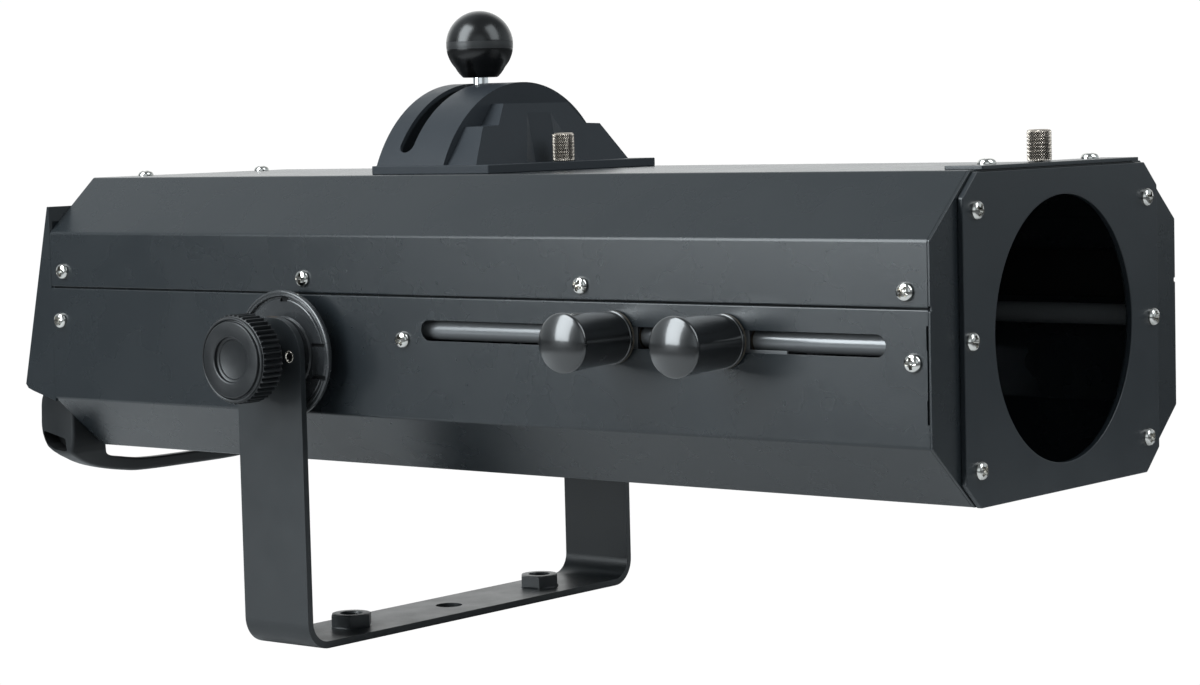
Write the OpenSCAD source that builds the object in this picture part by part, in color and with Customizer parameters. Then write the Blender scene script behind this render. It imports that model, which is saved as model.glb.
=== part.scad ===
// Followspot: octagonal sheet-metal head in a U yoke.
// Origin: centre of the yoke's base hole, on the underside of the base.
// +X is the direction of the beam, +Z is up, the control side faces -Y.

/* [Head body] */
// Length of the folded shells, front bulkhead included
body_len = 632.6; // [560:0.1:700]
// Half width of the body across its vertical sides
body_hw = 122; // [116:0.5:130]
// Half width of the flat top and bottom
flat_hw = 84.75; // [70:0.25:95]
// Height of the body
body_h = 165.6; // [150:0.2:180]
// Height of each sloping chamfer
chamfer_h = 32.4; // [24:0.2:40]
// Sheet thickness of the shells
sheet = 1; // [0.8:0.1:2]
// Height of the seam between the shells, above the underside
seam_z = 100.2; // [94:0.2:106]

/* [Optics] */
// Height of the optical axis above the underside of the body
optic_z = 82.5; // [78:0.5:86]
// Radius of the aperture in the front plate
aperture_r = 68.5; // [50:0.5:74]
// Radius of the guide rods
rod_r = 6; // [4:0.5:7]
// Distance of each guide rod from the centre plane
rod_y = 110.4; // [108:0.1:112]
// Position of the rear slider along the body
rear_lens_x = 247.4; // [235:0.1:262]
// Position of the front slider along the body
front_lens_x = 318.9; // [305:0.1:334]

/* [Yoke] */
// Width of the flat bar
strap_w = 50; // [40:1:60]
// Thickness of the flat bar
strap_t = 4; // [3:0.5:6]
// Distance from the centre plane to the outer face of each arm
arm_y = 145.9; // [144:0.1:160]
// Height of the tilt axis above the underside of the base
axis_z = 166; // [160:1:190]
// Outer radius of the two bends
bend_r = 16; // [6:0.5:20]
// Diameter of the centre hole in the base
centre_hole_d = 16; // [10:0.5:17]
// Distance from the centre hole to each threaded hole
nut_y = 85; // [70:1:100]

/* [Controls] */
// Diameter of the iris lever's ball
ball_d = 39.4; // [30:0.2:42]
// Diameter of each tilt lock knob
lock_knob_d = 50; // [40:1:56]
// Diameter of the slider knobs at the rim
slider_d = 31.2; // [26:0.2:34]

/* [Hidden] */
$fn = 72;

axis_x = 17;                       // tilt axis, measured in the body's own lengthwise coordinate
body_axis_z = 66.4;                // tilt axis above the underside of the body
lift = axis_z - body_axis_z;       // underside of the body above the yoke's base
xf = 441.6;                        // front face of the front bulkhead
xr = xf - body_len;                // rear edge of the shells
ca = atan2(chamfer_h, body_hw - flat_hw);
lever_x = 53.8;                    // plane of the iris lever
lever_z = 138;                     // pivot height of the iris lever
dome_r = 78.7;
plate_z = 170.5;                   // top face of the iris housing's base plate
side_upper = [[-179.9, 109.9], [22.9, 108.7], [225.5, 108.1], [427.3, 108.3]];
side_lower = [[-183.3, 80.0], [98.2, 76.0], [431.2, 73.9]];
top_rear = [[-180.9, 50.6]];
top_front = [[430.4, 51.1]];
front_holes = [[84.8, 146.2], [90.5, 82.3], [84.3, 18.4]];
fan_c = [50, 100];                 // fan centre (y, z)
psi = atan2(25.4, 109);            // lean of the rear control face
blade_dx = 0.65;

// ---------- helpers ----------
// body coordinates to the part's frame
module body_frame() translate([-axis_x, 0, lift]) children();
// extrude a (y, z) outline along x
module along_x(x0, x1) translate([x0, 0, 0]) rotate([90, 0, 90]) linear_extrude(x1 - x0) children();
// extrude an (x, z) outline along y
module along_y(y0, y1) translate([0, y1, 0]) rotate([90, 0, 0]) linear_extrude(y1 - y0) children();
module xcyl(y, z, x0, x1, r) translate([x0, y, z]) rotate([0, 90, 0]) cylinder(h = x1 - x0, r = r);
module ycyl(x, z, y0, y1, r) translate([x, y0, z]) rotate([-90, 0, 0]) cylinder(h = y1 - y0, r = r);
module zcyl(x, y, z0, z1, r) translate([x, y, z0]) cylinder(h = z1 - z0, r = r);
module box(a, b) translate(a) cube([b[0] - a[0], b[1] - a[1], b[2] - a[2]]);
module both() { children(); mirror([0, 1, 0]) children(); }
// octagon of the body, inset by t
module octagon(t) {
  y1 = flat_hw - t * tan(ca / 2);
  y2 = body_hw - t;
  z2 = chamfer_h + t * tan((90 - ca) / 2);
  polygon([[-y1, t], [y1, t], [y2, z2], [y2, body_h - z2], [y1, body_h - t],
    [-y1, body_h - t], [-y2, body_h - z2], [-y2, z2]]);
}
// a frame whose z points out of the sloping rear control face;
// y across the body, s up the slope from its lower edge
module on_panel(y, s) translate([-217.9 + s * sin(psi), y, 40 + s * cos(psi)]) rotate([0, -(90 - psi), 0]) children();

// ---------- yoke ----------
module strap_u(o, r) {
  // o: inset from the outside of the bar
  y = arm_y - o;
  union() {
    translate([-y, o + r]) square([2 * y, axis_z + 60]);
    translate([-y + r, o]) square([2 * (y - r), r + 1]);
    translate([-y + r, o + r]) circle(r);
    translate([y - r, o + r]) circle(r);
  }
}
module arm_outline() {
  translate([-strap_w / 2, -1]) square([strap_w, axis_z + 2.5]);
  translate([-strap_w / 2 + 20, axis_z]) square([strap_w - 40, 21.5]);
  for (s = [-1, 1]) translate([s * (strap_w / 2 - 20), axis_z + 1.5]) circle(20);
}
module yoke_strap() {
  color("#17181a")
  difference() {
    intersection() {
      along_x(-strap_w / 2, strap_w / 2) difference() {
        strap_u(0, bend_r);
        strap_u(strap_t, bend_r - strap_t);
      }
      along_y(-arm_y - 1, arm_y + 1) arm_outline();
    }
    zcyl(0, 0, -1, strap_t + 1, centre_hole_d / 2);
    for (s = [-1, 1]) zcyl(0, s * nut_y, -1, strap_t + 1, 6.2);
    ycyl(0, axis_z, -arm_y - 1, -arm_y + strap_t + 1, 8.05);
    ycyl(0, axis_z, arm_y - strap_t - 1, arm_y + 1, 8.05);
    for (s = [-1, 1]) {
      ycyl(16.6 * s, axis_z, -arm_y - 1, -arm_y + strap_t + 1, 2.5);
      ycyl(16.6 * s, axis_z, arm_y - strap_t - 1, arm_y + 1, 2.5);
    }
  }
}
module yoke_weld_nuts() {
  color("#1d1e20")
  for (s = [-1, 1]) translate([0, s * nut_y, strap_t]) difference() {
    intersection() {
      rotate([0, 0, 9]) cylinder(h = 7.6, r = 12.7, $fn = 6);
      union() {
        cylinder(h = 6.5, r = 13);
        translate([0, 0, 6.5]) cylinder(h = 1.1, r1 = 12.9, r2 = 11);
      }
    }
    translate([0, 0, -1]) cylinder(h = 10, r = 5.2);
    translate([0, 0, 6.1]) cylinder(h = 1.6, r1 = 5.2, r2 = 6.8);
  }
}
module yoke_rivets() {
  color("#b9bcc0")
  both() for (s = [-1, 1]) difference() {
    union() {
      ycyl(16.6 * s, axis_z, -arm_y - 0.5, -arm_y + strap_t + 1.2, 2.5);
      ycyl(16.6 * s, axis_z, -arm_y - 0.5, -arm_y, 3.4);
    }
    ycyl(16.6 * s, axis_z, -arm_y - 1, -arm_y + strap_t + 2, 1.5);
  }
}
module yoke_friction_washers() {
  color("#3a3229")
  both() difference() {
    ycyl(0, axis_z, -arm_y + strap_t, -arm_y + strap_t + 1.2, 22);
    ycyl(0, axis_z, -arm_y + strap_t - 1, -arm_y + strap_t + 2, 8.3);
    for (s = [-1, 1]) ycyl(16.6 * s, axis_z, -arm_y + strap_t - 1, -arm_y + strap_t + 2, 2.5);
  }
}

// ---------- tilt locks ----------
module lock_knob() {
  // turned about the tilt axis; face outward at -Y
  rr = lock_knob_d / 2;
  difference() {
    translate([0, -175.3, axis_z]) rotate([-90, 0, 0]) rotate_extrude($fn = 96)
      polygon([[0, 1.2], [11.4, 1.2], [12.2, 0.2], [rr - 4.2, 0], [rr - 2.6, 0.6], [rr - 1.2, 2.2], [rr, 3.4],
        [rr, 15.8], [rr - 1, 17], [14, 17.6], [12.4, 19], [12.4, 29], [7.9, 29], [7.9, 10], [0, 10]]);
    for (a = [0:8:359]) translate([0, 0, axis_z]) rotate([0, a, 0])
      translate([rr + 0.75, -180, 0]) rotate([-90, 0, 0]) cylinder(h = 21, r = 1.3, $fn = 16);
  }
}
module knob_insert() {
  difference() {
    ycyl(0, axis_z, -165.3, -146.3, 7.9);
    ycyl(0, axis_z, -164, -146, 5.05);
  }
}
module near_lock_knob() { color("#141517") lock_knob(); }
module far_lock_knob() { color("#141517") mirror([0, 1, 0]) lock_knob(); }
module near_knob_insert() { color("#b08d4a") knob_insert(); }
module far_knob_insert() { color("#b08d4a") mirror([0, 1, 0]) knob_insert(); }
module clutch_discs() {
  color("#1c1d1f")
  both() difference() {
    translate([0, -134.9, axis_z]) rotate([-90, 0, 0]) rotate_extrude($fn = 96)
      polygon([[8.05, -5.5], [15.7, -5.5], [16.2, -5], [16.2, 0.6], [21, 0.7], [21.4, 1.8], [31.4, 0.9], [31.6, 2.1], [32.8, 2.1],
        [33, 0], [35.5, 0], [36.3, 0.8], [36.3, 2.6], [35.8, 3.3], [24.5, 3.8], [23.5, 4.8], [23.5, 12.9], [8.05, 12.9]]);
    // index notch near the top of the rim
    translate([-0.8, -136, axis_z + 30]) cube([5.4, 3, 3]);
    // two level divider grooves on the forward side, and the shallow tray between them
    for (z = [5.9, -12.2]) translate([21.8, -135.2, axis_z + z - 0.85]) cube([11.7, 2.6, 1.7]);
    translate([22.3, -135.2, axis_z - 11.4]) cube([9.9, 2.3, 16.5]);
  }
}
module pivot_studs() {
  // shouldered studs, each welded to its backing plate inside the shell
  color("#a9adb2")
  both() union() {
    ycyl(0, axis_z, -146.1, -120, 8);
    ycyl(0, axis_z, -163, -121, 5);
    box([-40, -121, axis_z - 34], [40, -118, axis_z + 22]);
    translate([0, -118.1, axis_z]) rotate([-90, 0, 0]) cylinder(h = 8, r = 13.8, $fn = 6);
  }
}

// ---------- shells ----------
module shell_ring(t0, t1, x0, x1) along_x(x0, x1) difference() { octagon(t0); octagon(t1); }
module upper_shell() {
  color("#34393c") body_frame() difference() {
    shell_ring(0, sheet, xr, xf - 1.6);
    box([xr - 1, -200, -5], [xf + 1, 200, seam_z]);
    both() for (p = side_upper) ycyl(p[0], p[1], -body_hw - 1, -body_hw + 5, 2.7);
    both() for (p = concat(top_rear, top_front)) zcyl(p[0], p[1], body_h - 3, body_h + 1, 2.7);
    // opening under the iris housing
    box([43, -62, body_h - 5], [70, 62, body_h + 5]);
    // slot for colour filters under the front strip
    box([426, -72, body_h - 5], [437, 72, body_h + 5]);
    zcyl(115.5, 0, body_h - 3, body_h + 1, 3);
    // small index notch in the top
    zcyl(218.8, -flat_hw + 9, body_h - 3, body_h + 1, 2);
  }
}
module lower_shell() {
  color("#2e3336") body_frame() difference() {
    union() {
      difference() {
        shell_ring(0, sheet, xr, xf - 1.6);
        box([xr - 1, -200, seam_z - 0.3], [xf + 1, 200, body_h + 5]);
      }
      // inner lap behind the upper shell
      both() box([xr + 3, -body_hw + sheet, 90], [xf - 5, -body_hw + sheet + 1, 116]);
    }
    both() for (p = concat(side_upper, side_lower)) ycyl(p[0], p[1], -body_hw - 1, -body_hw + 5, 2.7);
    // slider slot with round ends, near side only
    hw = 11.35 / 2;
    box([111.8 + hw, -body_hw - 1, 75.85], [415.5 - hw, -body_hw + 4, 87.2]);
    for (x = [111.8 + hw, 415.5 - hw]) ycyl(x, 75.85 + hw, -body_hw - 1, -body_hw + 4, hw);
    // holes for the pivot studs
    both() ycyl(axis_x, body_axis_z, -body_hw - 1, -body_hw + 4, 8.05);
    // bottom air slots below the heatsink
    for (x = [-150:12:-66]) box([x, -55, -1], [x + 5, 55, sheet + 1]);
  }
}
module front_bulkhead() {
  color("#303437") body_frame() difference() {
    union() {
      along_x(xf - 1.6, xf) octagon(0);
      // folded rim inside the shells
      shell_ring(sheet, sheet + 1.5, xf - 14, xf - 1.6);
    }
    xcyl(0, optic_z, xf - 3, xf + 1, 70);
    both() for (p = front_holes) xcyl(-p[0], p[1], xf - 3, xf + 1, 2.7);
    both() zcyl(430.4, 51.1, body_h - 4, body_h, 2.7);
    both() for (z = [108.3]) ycyl(427.3, z, -body_hw, -body_hw + 4, 2.7);
    both() ycyl(431.2, 73.9, -body_hw, -body_hw + 4, 2.7);
    both() box([xf - 20, -body_hw, 89], [xf - 4.5, -body_hw + 2.2, 117]);
    box([426, -72, body_h - 5], [437, 72, body_h + 5]);
    both() ycyl(427.3, 108.3, -body_hw, -body_hw + 4, 2.7);
  }
}
module front_plate() {
  color("#33373a") body_frame() difference() {
    along_x(xf, xf + 3.1) polygon([[-83.3, -0.4], [83.3, -0.4], [96.9, 11.9], [96.9, 152.4], [83.3, 164.7],
      [-83.3, 164.7], [-96.9, 152.4], [-96.9, 11.9]]);
    xcyl(0, optic_z, xf - 1, xf + 5, aperture_r);
    both() for (p = front_holes) xcyl(-p[0], p[1], xf - 1, xf + 5, 2.7);
  }
}
module front_top_strip() {
  color("#3b4043") body_frame() difference() {
    union() {
      box([422.2, -77.7, body_h], [xf + 3.1, 77.7, body_h + 2]);
      // blade that closes the filter slot
      box([427, -71, body_h - 9], [430, 71, body_h + 0.5]);
    }
    both() zcyl(430.4, 51.1, body_h - 10, body_h + 3, 2.7);
    zcyl(430.4, 0, body_h - 10, body_h + 3, 2.55);
    // dark slit near the near-side edge
    box([423.2, -76.2, body_h + 1], [439.6, -74.6, body_h + 3]);
  }
}
// pan-head screw: head outward at +z, shank to -z, under-head face at z = 0
module pan_screw(l) {
  difference() {
    union() {
      cylinder(h = 1.7, r = 4.8, $fn = 40);
      translate([0, 0, 1.7]) cylinder(h = 1.4, r1 = 4.8, r2 = 3, $fn = 40);
      translate([0, 0, -l]) cylinder(h = l + 0.1, r = 2.45, $fn = 32);
    }
    translate([-2.4, -0.55, 1.5]) cube([4.8, 1.1, 3]);
    translate([-0.55, -2.4, 1.5]) cube([1.1, 4.8, 3]);
  }
}
module pan_screws() {
  color("#c8cbce") body_frame() {
    for (p = concat(side_upper, side_lower)) {
      translate([p[0], -body_hw, p[1]]) rotate([90, 0, 0]) pan_screw(4.4);
      translate([p[0], body_hw, p[1]]) rotate([-90, 0, 0]) pan_screw(4.4);
    }
    for (p = top_rear, s = [-1, 1]) translate([p[0], s * p[1], body_h]) pan_screw(6);
    for (p = top_front, s = [-1, 1]) translate([p[0], s * p[1], body_h + 2]) pan_screw(8);
    for (p = front_holes, s = [-1, 1]) translate([xf + 3.1, s * p[0], p[1]]) rotate([0, 90, 0]) pan_screw(8);
  }
}
module clip_nuts() {
  color("#8f9296") body_frame() both()
    for (p = concat(side_upper, side_lower)) if (p[0] < 400) {
      y0 = -body_hw + (p[1] > 90 ? 2 : 1) * sheet;
      difference() {
        box([p[0] - 5, y0, p[1] - 5], [p[0] + 5, y0 + 3, p[1] + 5]);
        ycyl(p[0], p[1], y0 - 1, y0 + 4, 2.5);
      }
    }
}
module thumbscrew(x, z) {
  // knurled head standing on z, shank below
  color("#3d352c") body_frame() translate([x, 0, z + 0.3]) union() {
    cylinder(h = 14.9, r = 6.35, $fn = 64);
    translate([0, 0, 14.9]) cylinder(h = 1.2, r1 = 6.35, r2 = 5.2, $fn = 64);
    translate([0, 0, -12]) cylinder(h = 12.1, r = 2.5);
  }
}
module front_thumbscrew() thumbscrew(430.4, body_h + 2);
module dome_thumbscrew() thumbscrew(115.5, plate_z);

// ---------- iris housing ----------
module nose_outline() polygon([[-69, plate_z - 1], [-52.6, 191.7], [-38.8, 192.2], [-28.6, 204.4],
  [28.6, 204.4], [38.8, 192.2], [52.6, 191.7], [69, plate_z - 1]]);
module dome_housing() {
  color("#4a4e52") body_frame() difference() {
    union() {
      box([34.8, -75.6, body_h], [123.7, 75.6, plate_z]);
      intersection() {
        xcyl(0, lever_z, 35.4, 86.6, dome_r);
        box([30, -100, plate_z - 1], [130, 100, 230]);
      }
      intersection() {
        along_x(80, 112) nose_outline();
        along_y(-90, 90) polygon([[80, plate_z - 1], [109.4, plate_z - 1], [95.6, 204.4], [80, 204.4]]);
      }
    }
    // hollow under the arched cover, open below
    intersection() {
      xcyl(0, lever_z, 38, 84, dome_r - 2.5);
      box([30, -100, body_h - 1], [130, 100, 230]);
    }
    // lever slot
    intersection() {
      xcyl(0, lever_z, lever_x - 5.1, lever_x + 5.1, dome_r + 1);
      along_x(40, 70) polygon([[0, lever_z], [-110 * sin(56), lever_z + 110 * cos(56)], [-70, 240], [70, 240],
        [110 * sin(56), lever_z + 110 * cos(56)]]);
    }
    for (s = [-1, 1]) translate([lever_x, 0, lever_z]) rotate([s * 56, 0, 0]) translate([0, 0, 60]) cylinder(h = 25, r = 5.1);
    // thumb pocket in the nose, flaring toward the base
    intersection() {
      box([90, -60, plate_z], [120, 60, 199.3]);
      translate([103.2, 0, plate_z]) rotate([0, -11, 0]) translate([0, 0, -6]) linear_extrude(45)
        polygon([[0, -10.4], [0, 10.4], [13, 44], [13, -44]]);
    }
    zcyl(115.5, 0, body_h - 1, plate_z + 1, 2.55);
    // small notch in the plate's edge
    box([62, -76, plate_z - 1.5], [65, -74.2, plate_z + 1]);
  }
}
module iris_lever() {
  color("#c4c7ca") body_frame() difference() {
    union() {
      box([lever_x - 1.5, -5.5, lever_z], [lever_x + 1.5, 5.5, lever_z + 68]);
      xcyl(0, lever_z, lever_x - 3, lever_x + 2.2, 8);
      zcyl(lever_x, 0, lever_z + 62, lever_z + 84, 4.7);
      // tail with the drive pin
      box([lever_x - 1.5, -4, lever_z - 12], [lever_x + 1.5, 4, lever_z]);
      xcyl(0, lever_z - 12, lever_x - 1.5, lever_x + 1.5, 4);
      xcyl(0, lever_z - 12, lever_x + 1.4, lever_x + 5.4, 2.5);
    }
    xcyl(0, lever_z, lever_x - 5, lever_x + 5, 3.05);
  }
}
module iris_ball() {
  color("#0c0c0d") body_frame() translate([lever_x, 0, 239.3]) difference() {
    union() {
      difference() {
        sphere(d = ball_d, $fn = 96);
        translate([-30, -30, -40]) cube([60, 60, 23]);
      }
      translate([0, 0, -19.2]) cylinder(h = 3, r1 = 9.9, r2 = 10.3);
    }
    translate([0, 0, -30]) cylinder(h = 12.8, r = 4.7);
  }
}
module iris_frame() {
  color("#7e8286") body_frame() union() {
    difference() {
      union() {
        // blade plate
        xcyl(0, optic_z, 63.4, 65.4, 52);
        box([63.4, -40, optic_z], [65.4, 40, body_h - sheet]);
        // carrier under the top of the shell
        box([30, -72, body_h - sheet - 2], [82, 72, body_h - sheet]);
        // bracket of the lever
        box([47.5, -20, lever_z - 10], [49.5, 20, body_h - sheet]);
      }
      xcyl(0, optic_z, 60, 70, 25);
      box([49.5, -61, body_h - 6], [63.4, 61, body_h + 1]);
    }
    // lever pivot pin with its collar
    xcyl(0, lever_z, 48, 55.9, 3);
    xcyl(0, lever_z, 49.4, 50.6, 6);
    // rollers that carry the ring
    for (a = [30, 150, 270]) {
      xcyl(41.5 * cos(a), optic_z + 41.5 * sin(a), 56.4, 58.9, 3.42);
      xcyl(41.5 * cos(a), optic_z + 41.5 * sin(a), 56.4, 63.5, 1.8);
    }
    // blade pivots
    for (i = [0:5]) rotate_x(i * 60) xcyl(46, 0, 59, 63.5, 1.5);
  }
}
module rotate_x(a) translate([0, 0, optic_z]) rotate([a, 0, 0]) children();
module iris_ring() {
  color("#5b5e61") body_frame() difference() {
    union() {
      xcyl(0, optic_z, 56.6, 58.6, 38);
      box([56.6, -8, optic_z + 34], [58.6, 8, optic_z + 53.5]);
    }
    xcyl(0, optic_z, 55, 60, 27);
    box([55, -3.7, optic_z + 40.5], [60, 3.7, optic_z + 60]);
  }
}
module iris_blade(i) {
  // a crescent leaf with an ear on its own pivot, drawn at mid travel
  x0 = 59.3 + i * blade_dx;
  color("#2a2b2d") body_frame() rotate_x(i * 60) translate([0, 46, 0]) rotate([11.5, 0, 0]) translate([0, -46, 0]) difference() {
    union() {
      intersection() {
        difference() { xcyl(0, 0, x0, x0 + 0.4, 37); xcyl(0, 0, x0 - 1, x0 + 1, 25); }
        along_x(x0 - 1, x0 + 1) polygon([[0, 0], [80, -8], [80, 80], [-80, 80], [-80, 20]]);
      }
      box([x0, 30, -4], [x0 + 0.4, 46, 4]);
      xcyl(46, 0, x0, x0 + 0.4, 4);
    }
    xcyl(46, 0, x0 - 1, x0 + 1, 1.55);
  }
}
module iris_blade_1() iris_blade(0);
module iris_blade_2() iris_blade(1);
module iris_blade_3() iris_blade(2);
module iris_blade_4() iris_blade(3);
module iris_blade_5() iris_blade(4);
module iris_blade_6() iris_blade(5);

// ---------- zoom and focus carriages ----------
module guide_rods() {
  color("#c9ccd0") body_frame() both() xcyl(-rod_y, 81.5, 98, xf - 2, rod_r);
}
module rod_blocks() {
  color("#55585c") body_frame() both() for (x = [[97, 105], [431, xf - 1.6]]) difference() {
    box([x[0], -117.5, 70], [x[1], -100, 88.9]);
    xcyl(-rod_y, 81.5, x[0] + (x[0] < 200 ? 1 : -1), x[1] + 1, rod_r + 0.02);
  }
}
module optical_bulkhead() {
  color("#202224") body_frame() difference() {
    along_x(95.4, 97) octagon(sheet);
    xcyl(0, optic_z, 94, 99, 46);
    both() box([94, -body_hw, 88], [99, -body_hw + 2.4, 118]);
    both() ycyl(98.2, 76, -body_hw, -body_hw + 9, 3.5);
    both() box([93, -body_hw, 70], [99, -body_hw + 5, 82]);
  }
}
// biconvex lens: radius r, centre thickness t, edge thickness e
module lens(r, t, e) {
  sag = (t - e) / 2;
  rad = (r * r + sag * sag) / (2 * sag);
  front = [for (i = [0:10]) let (y = r * i / 10) [y, sqrt(rad * rad - y * y) - rad + t / 2]];
  back = [for (i = [10:-1:0]) let (y = r * i / 10) [y, -(sqrt(rad * rad - y * y) - rad + t / 2)]];
  translate([0, 0, optic_z]) rotate([0, 90, 0]) rotate_extrude($fn = 96) polygon(concat(front, back));
}
module lens_cell(x, fwd) {
  color("#2b2d30") body_frame() difference() {
    union() {
      xcyl(0, optic_z, x - 9, x + 9, 65);
      both() box([x - 13, -119.2, 70.5], [x + 13, -101.5, 92.5]);
      both() box([x - 4, -103, 60], [x + 4, -56, 105]);
      // lower lip of the front carriage, seen through the slot
      if (fwd == 1) box([x + 12, -119.2, 74.6], [x + 36, -117.9, 77.2]);
      // stud for the slider knob
      ycyl(x, 81.5, -150, -118, 4);
    }
    xcyl(0, optic_z, x - 10, x + 10, 59.6);
    both() xcyl(-rod_y, 81.5, x - 20, x + 20, 7.5);
  }
}
module rod_bushes(x) {
  color("#a8895a") body_frame() both() difference() {
    xcyl(-rod_y, 81.5, x - 13, x + 13, 7.5);
    xcyl(-rod_y, 81.5, x - 20, x + 20, rod_r + 0.05);
  }
}
module slider_knob(x) {
  color("#0e0e10") body_frame() difference() {
    translate([x, -169.7, 81.5]) rotate([-90, 0, 0]) rotate_extrude($fn = 72)
      polygon([[0, 0], [6, 0.35], [11, 1.5], [14, 3.2], [slider_d / 2 - 0.5, 5], [slider_d / 2, 6.2], [slider_d / 2 - 0.3, 7.4],
        [13.4, 43.5], [14, 44.2], [14, 46.7], [4.05, 46.7], [4.05, 18], [0, 18]]);
  }
}
module rear_lens() { color("#b8c6cc") body_frame() translate([rear_lens_x, 0, 0]) lens(59.5, 15, 3); }
module front_lens() { color("#b8c6cc") body_frame() translate([front_lens_x, 0, 0]) lens(59.5, 15, 3); }
module rear_lens_cell() lens_cell(rear_lens_x, 0);
module front_lens_cell() lens_cell(front_lens_x, 1);
module rod_bushes_rear() rod_bushes(rear_lens_x);
module rod_bushes_front() rod_bushes(front_lens_x);
module rear_slider_knob() slider_knob(rear_lens_x);
module front_slider_knob() slider_knob(front_lens_x);

// ---------- light engine ----------
module heatsink() {
  color("#9b9ea2") body_frame() union() {
    box([-62, -72, 52], [-48, 72, 158]);
    for (y = [-72:8:72]) box([-152, y - 1.1, 52], [-61, y + 1.1, 158]);
  }
}
module led_board() {
  color("#d9d6c2") body_frame() union() {
    box([-48, -28, optic_z - 28], [-45, 28, optic_z + 28]);
    xcyl(0, optic_z, -45.1, -44, 17);
  }
}
module condenser_lens() {
  color("#c4d0d4") body_frame() intersection() {
    xcyl(0, optic_z, -20, 0, 33.95);
    translate([-48, 0, optic_z]) sphere(r = 46, $fn = 128);
  }
}
module condenser_holder() {
  color("#6f7276") body_frame() difference() {
    union() {
      xcyl(0, optic_z, -23, -13, 39);
      box([-21, -30, 1], [-17, 30, optic_z]);
      box([-21, -30, 1], [-5, 30, 3.5]);
    }
    xcyl(0, optic_z, -20, -12, 34);
    xcyl(0, optic_z, -30, -10, 31.5);
  }
}
module power_supply() {
  color("#a3a6a9") body_frame() box([-187, -78, 1], [-70, 78, 48]);
}
module fan_frame() {
  color("#161718") body_frame() difference() {
    union() {
      box([-188, fan_c[0] - 46, fan_c[1] - 46], [-163, fan_c[0] + 46, fan_c[1] + 46]);
    }
    xcyl(fan_c[0], fan_c[1], -190, -166, 43.5);
    difference() {
      xcyl(fan_c[0], fan_c[1], -167, -160, 43.5);
      xcyl(fan_c[0], fan_c[1], -167, -160, 17);
      for (a = [0, 120, 240]) translate([0, fan_c[0], fan_c[1]]) rotate([a, 0, 0]) box([-167, -3, 0], [-162, 3, 44]);
    }
    xcyl(fan_c[0], fan_c[1], -170, -164, 2.05);
    for (a = [-1, 1], b = [-1, 1]) xcyl(fan_c[0] + 41 * a, fan_c[1] + 41 * b, -190, -160, 2.2);
  }
}
module fan_rotor() {
  color("#222325") body_frame() union() {
    xcyl(fan_c[0], fan_c[1], -185, -167.6, 18);
    xcyl(fan_c[0], fan_c[1], -168, -164.2, 2);
    for (a = [0:51.43:359]) translate([0, fan_c[0], fan_c[1]]) rotate([a, 0, 0])
      translate([-176, 0, 16]) rotate([0, 0, 38]) translate([-1, -10, 0]) cube([2, 20, 26]);
  }
}

// ---------- rear ----------
module rear_bulkhead() {
  color("#2b2f32") body_frame() difference() {
    along_x(xr, xr + 1.6) octagon(sheet);
    xcyl(fan_c[0], fan_c[1], xr - 1, xr + 3, 43.5);
    box([xr - 1, -112, 52], [xr + 3, -4, 142]);
  }
}
module cap_outline() {
  polygon([[xr, 30.5], [-211.5, 36], [-215.8, 37.5], [-217.9, 40], [-192.5, 149], [xr, 149]]);
}
module rear_cap() {
  color("#2c2f32") body_frame() difference() {
    along_y(-body_hw, body_hw) cap_outline();
    along_y(-body_hw + 2.5, body_hw - 2.5) polygon([[xr + 1, 34.5], [-211, 38.8], [-214.6, 41.8], [-191.6, 140], [xr + 1, 140]]);
    // handle screws
    for (y = [-98, -90, 90, 98]) zcyl(-204, y, 30, 45, 2.05);
    // fan grille: concentric openings held by cross bars
    difference() {
      union() for (r = [10, 18, 26, 34, 42]) on_panel(fan_c[0], 61.6) difference() {
        translate([0, 0, -8]) cylinder(h = 12, r = r);
        translate([0, 0, -9]) cylinder(h = 14, r = r - 5);
      }
      for (a = [45, 135]) on_panel(fan_c[0], 61.6) rotate([0, 0, a]) translate([-50, -2, -9]) cube([100, 4, 14]);
    }
    // display
    on_panel(-75, 90) translate([-11, -30, -8]) cube([22, 60, 12]);
    // menu buttons
    for (y = [-102, -84, -66, -48]) on_panel(y, 62) translate([0, 0, -8]) cylinder(h = 12, r = 5.8);
    // dimmer shaft
    on_panel(-22, 84) translate([0, 0, -8]) cylinder(h = 12, r = 3.57);
    // data sockets
    for (y = [-101, -73]) on_panel(y, 26) translate([0, 0, -8]) cylinder(h = 12, r = 11.8);
    // rocker switch and mains inlet
    on_panel(-46, 26) translate([-12.2, -7.2, -8]) cube([24.4, 14.4, 12]);
    on_panel(-19, 26) translate([-11, -14.5, -8]) cube([22, 29, 12]);
  }
}
module display_window() {
  color("#10252e") body_frame() on_panel(-75, 90) translate([-11, -30, -2.2]) cube([22, 60, 2]);
}
module menu_button(y) {
  color("#3a3c3f") body_frame() on_panel(y, 62) union() {
    translate([0, 0, -2.4]) cylinder(h = 4.4, r = 5.5);
    translate([0, 0, -5.4]) cylinder(h = 1.5, r = 7);
    translate([0, 0, -4]) cylinder(h = 2, r = 5.5);
  }
}
module menu_button_1() menu_button(-102);
module menu_button_2() menu_button(-84);
module menu_button_3() menu_button(-66);
module menu_button_4() menu_button(-48);
module dimmer_knob() {
  color("#18191b") body_frame() on_panel(-22, 84) difference() {
    union() {
      translate([0, 0, 0.4]) cylinder(h = 12, r = 10);
      translate([0, 0, 12.4]) cylinder(h = 1, r1 = 10, r2 = 9.2);
      translate([0, 0, -9]) cylinder(h = 10, r = 3.5);
    }
    translate([3, -0.6, 12.2]) cube([8, 1.2, 3]);
  }
}
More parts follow.
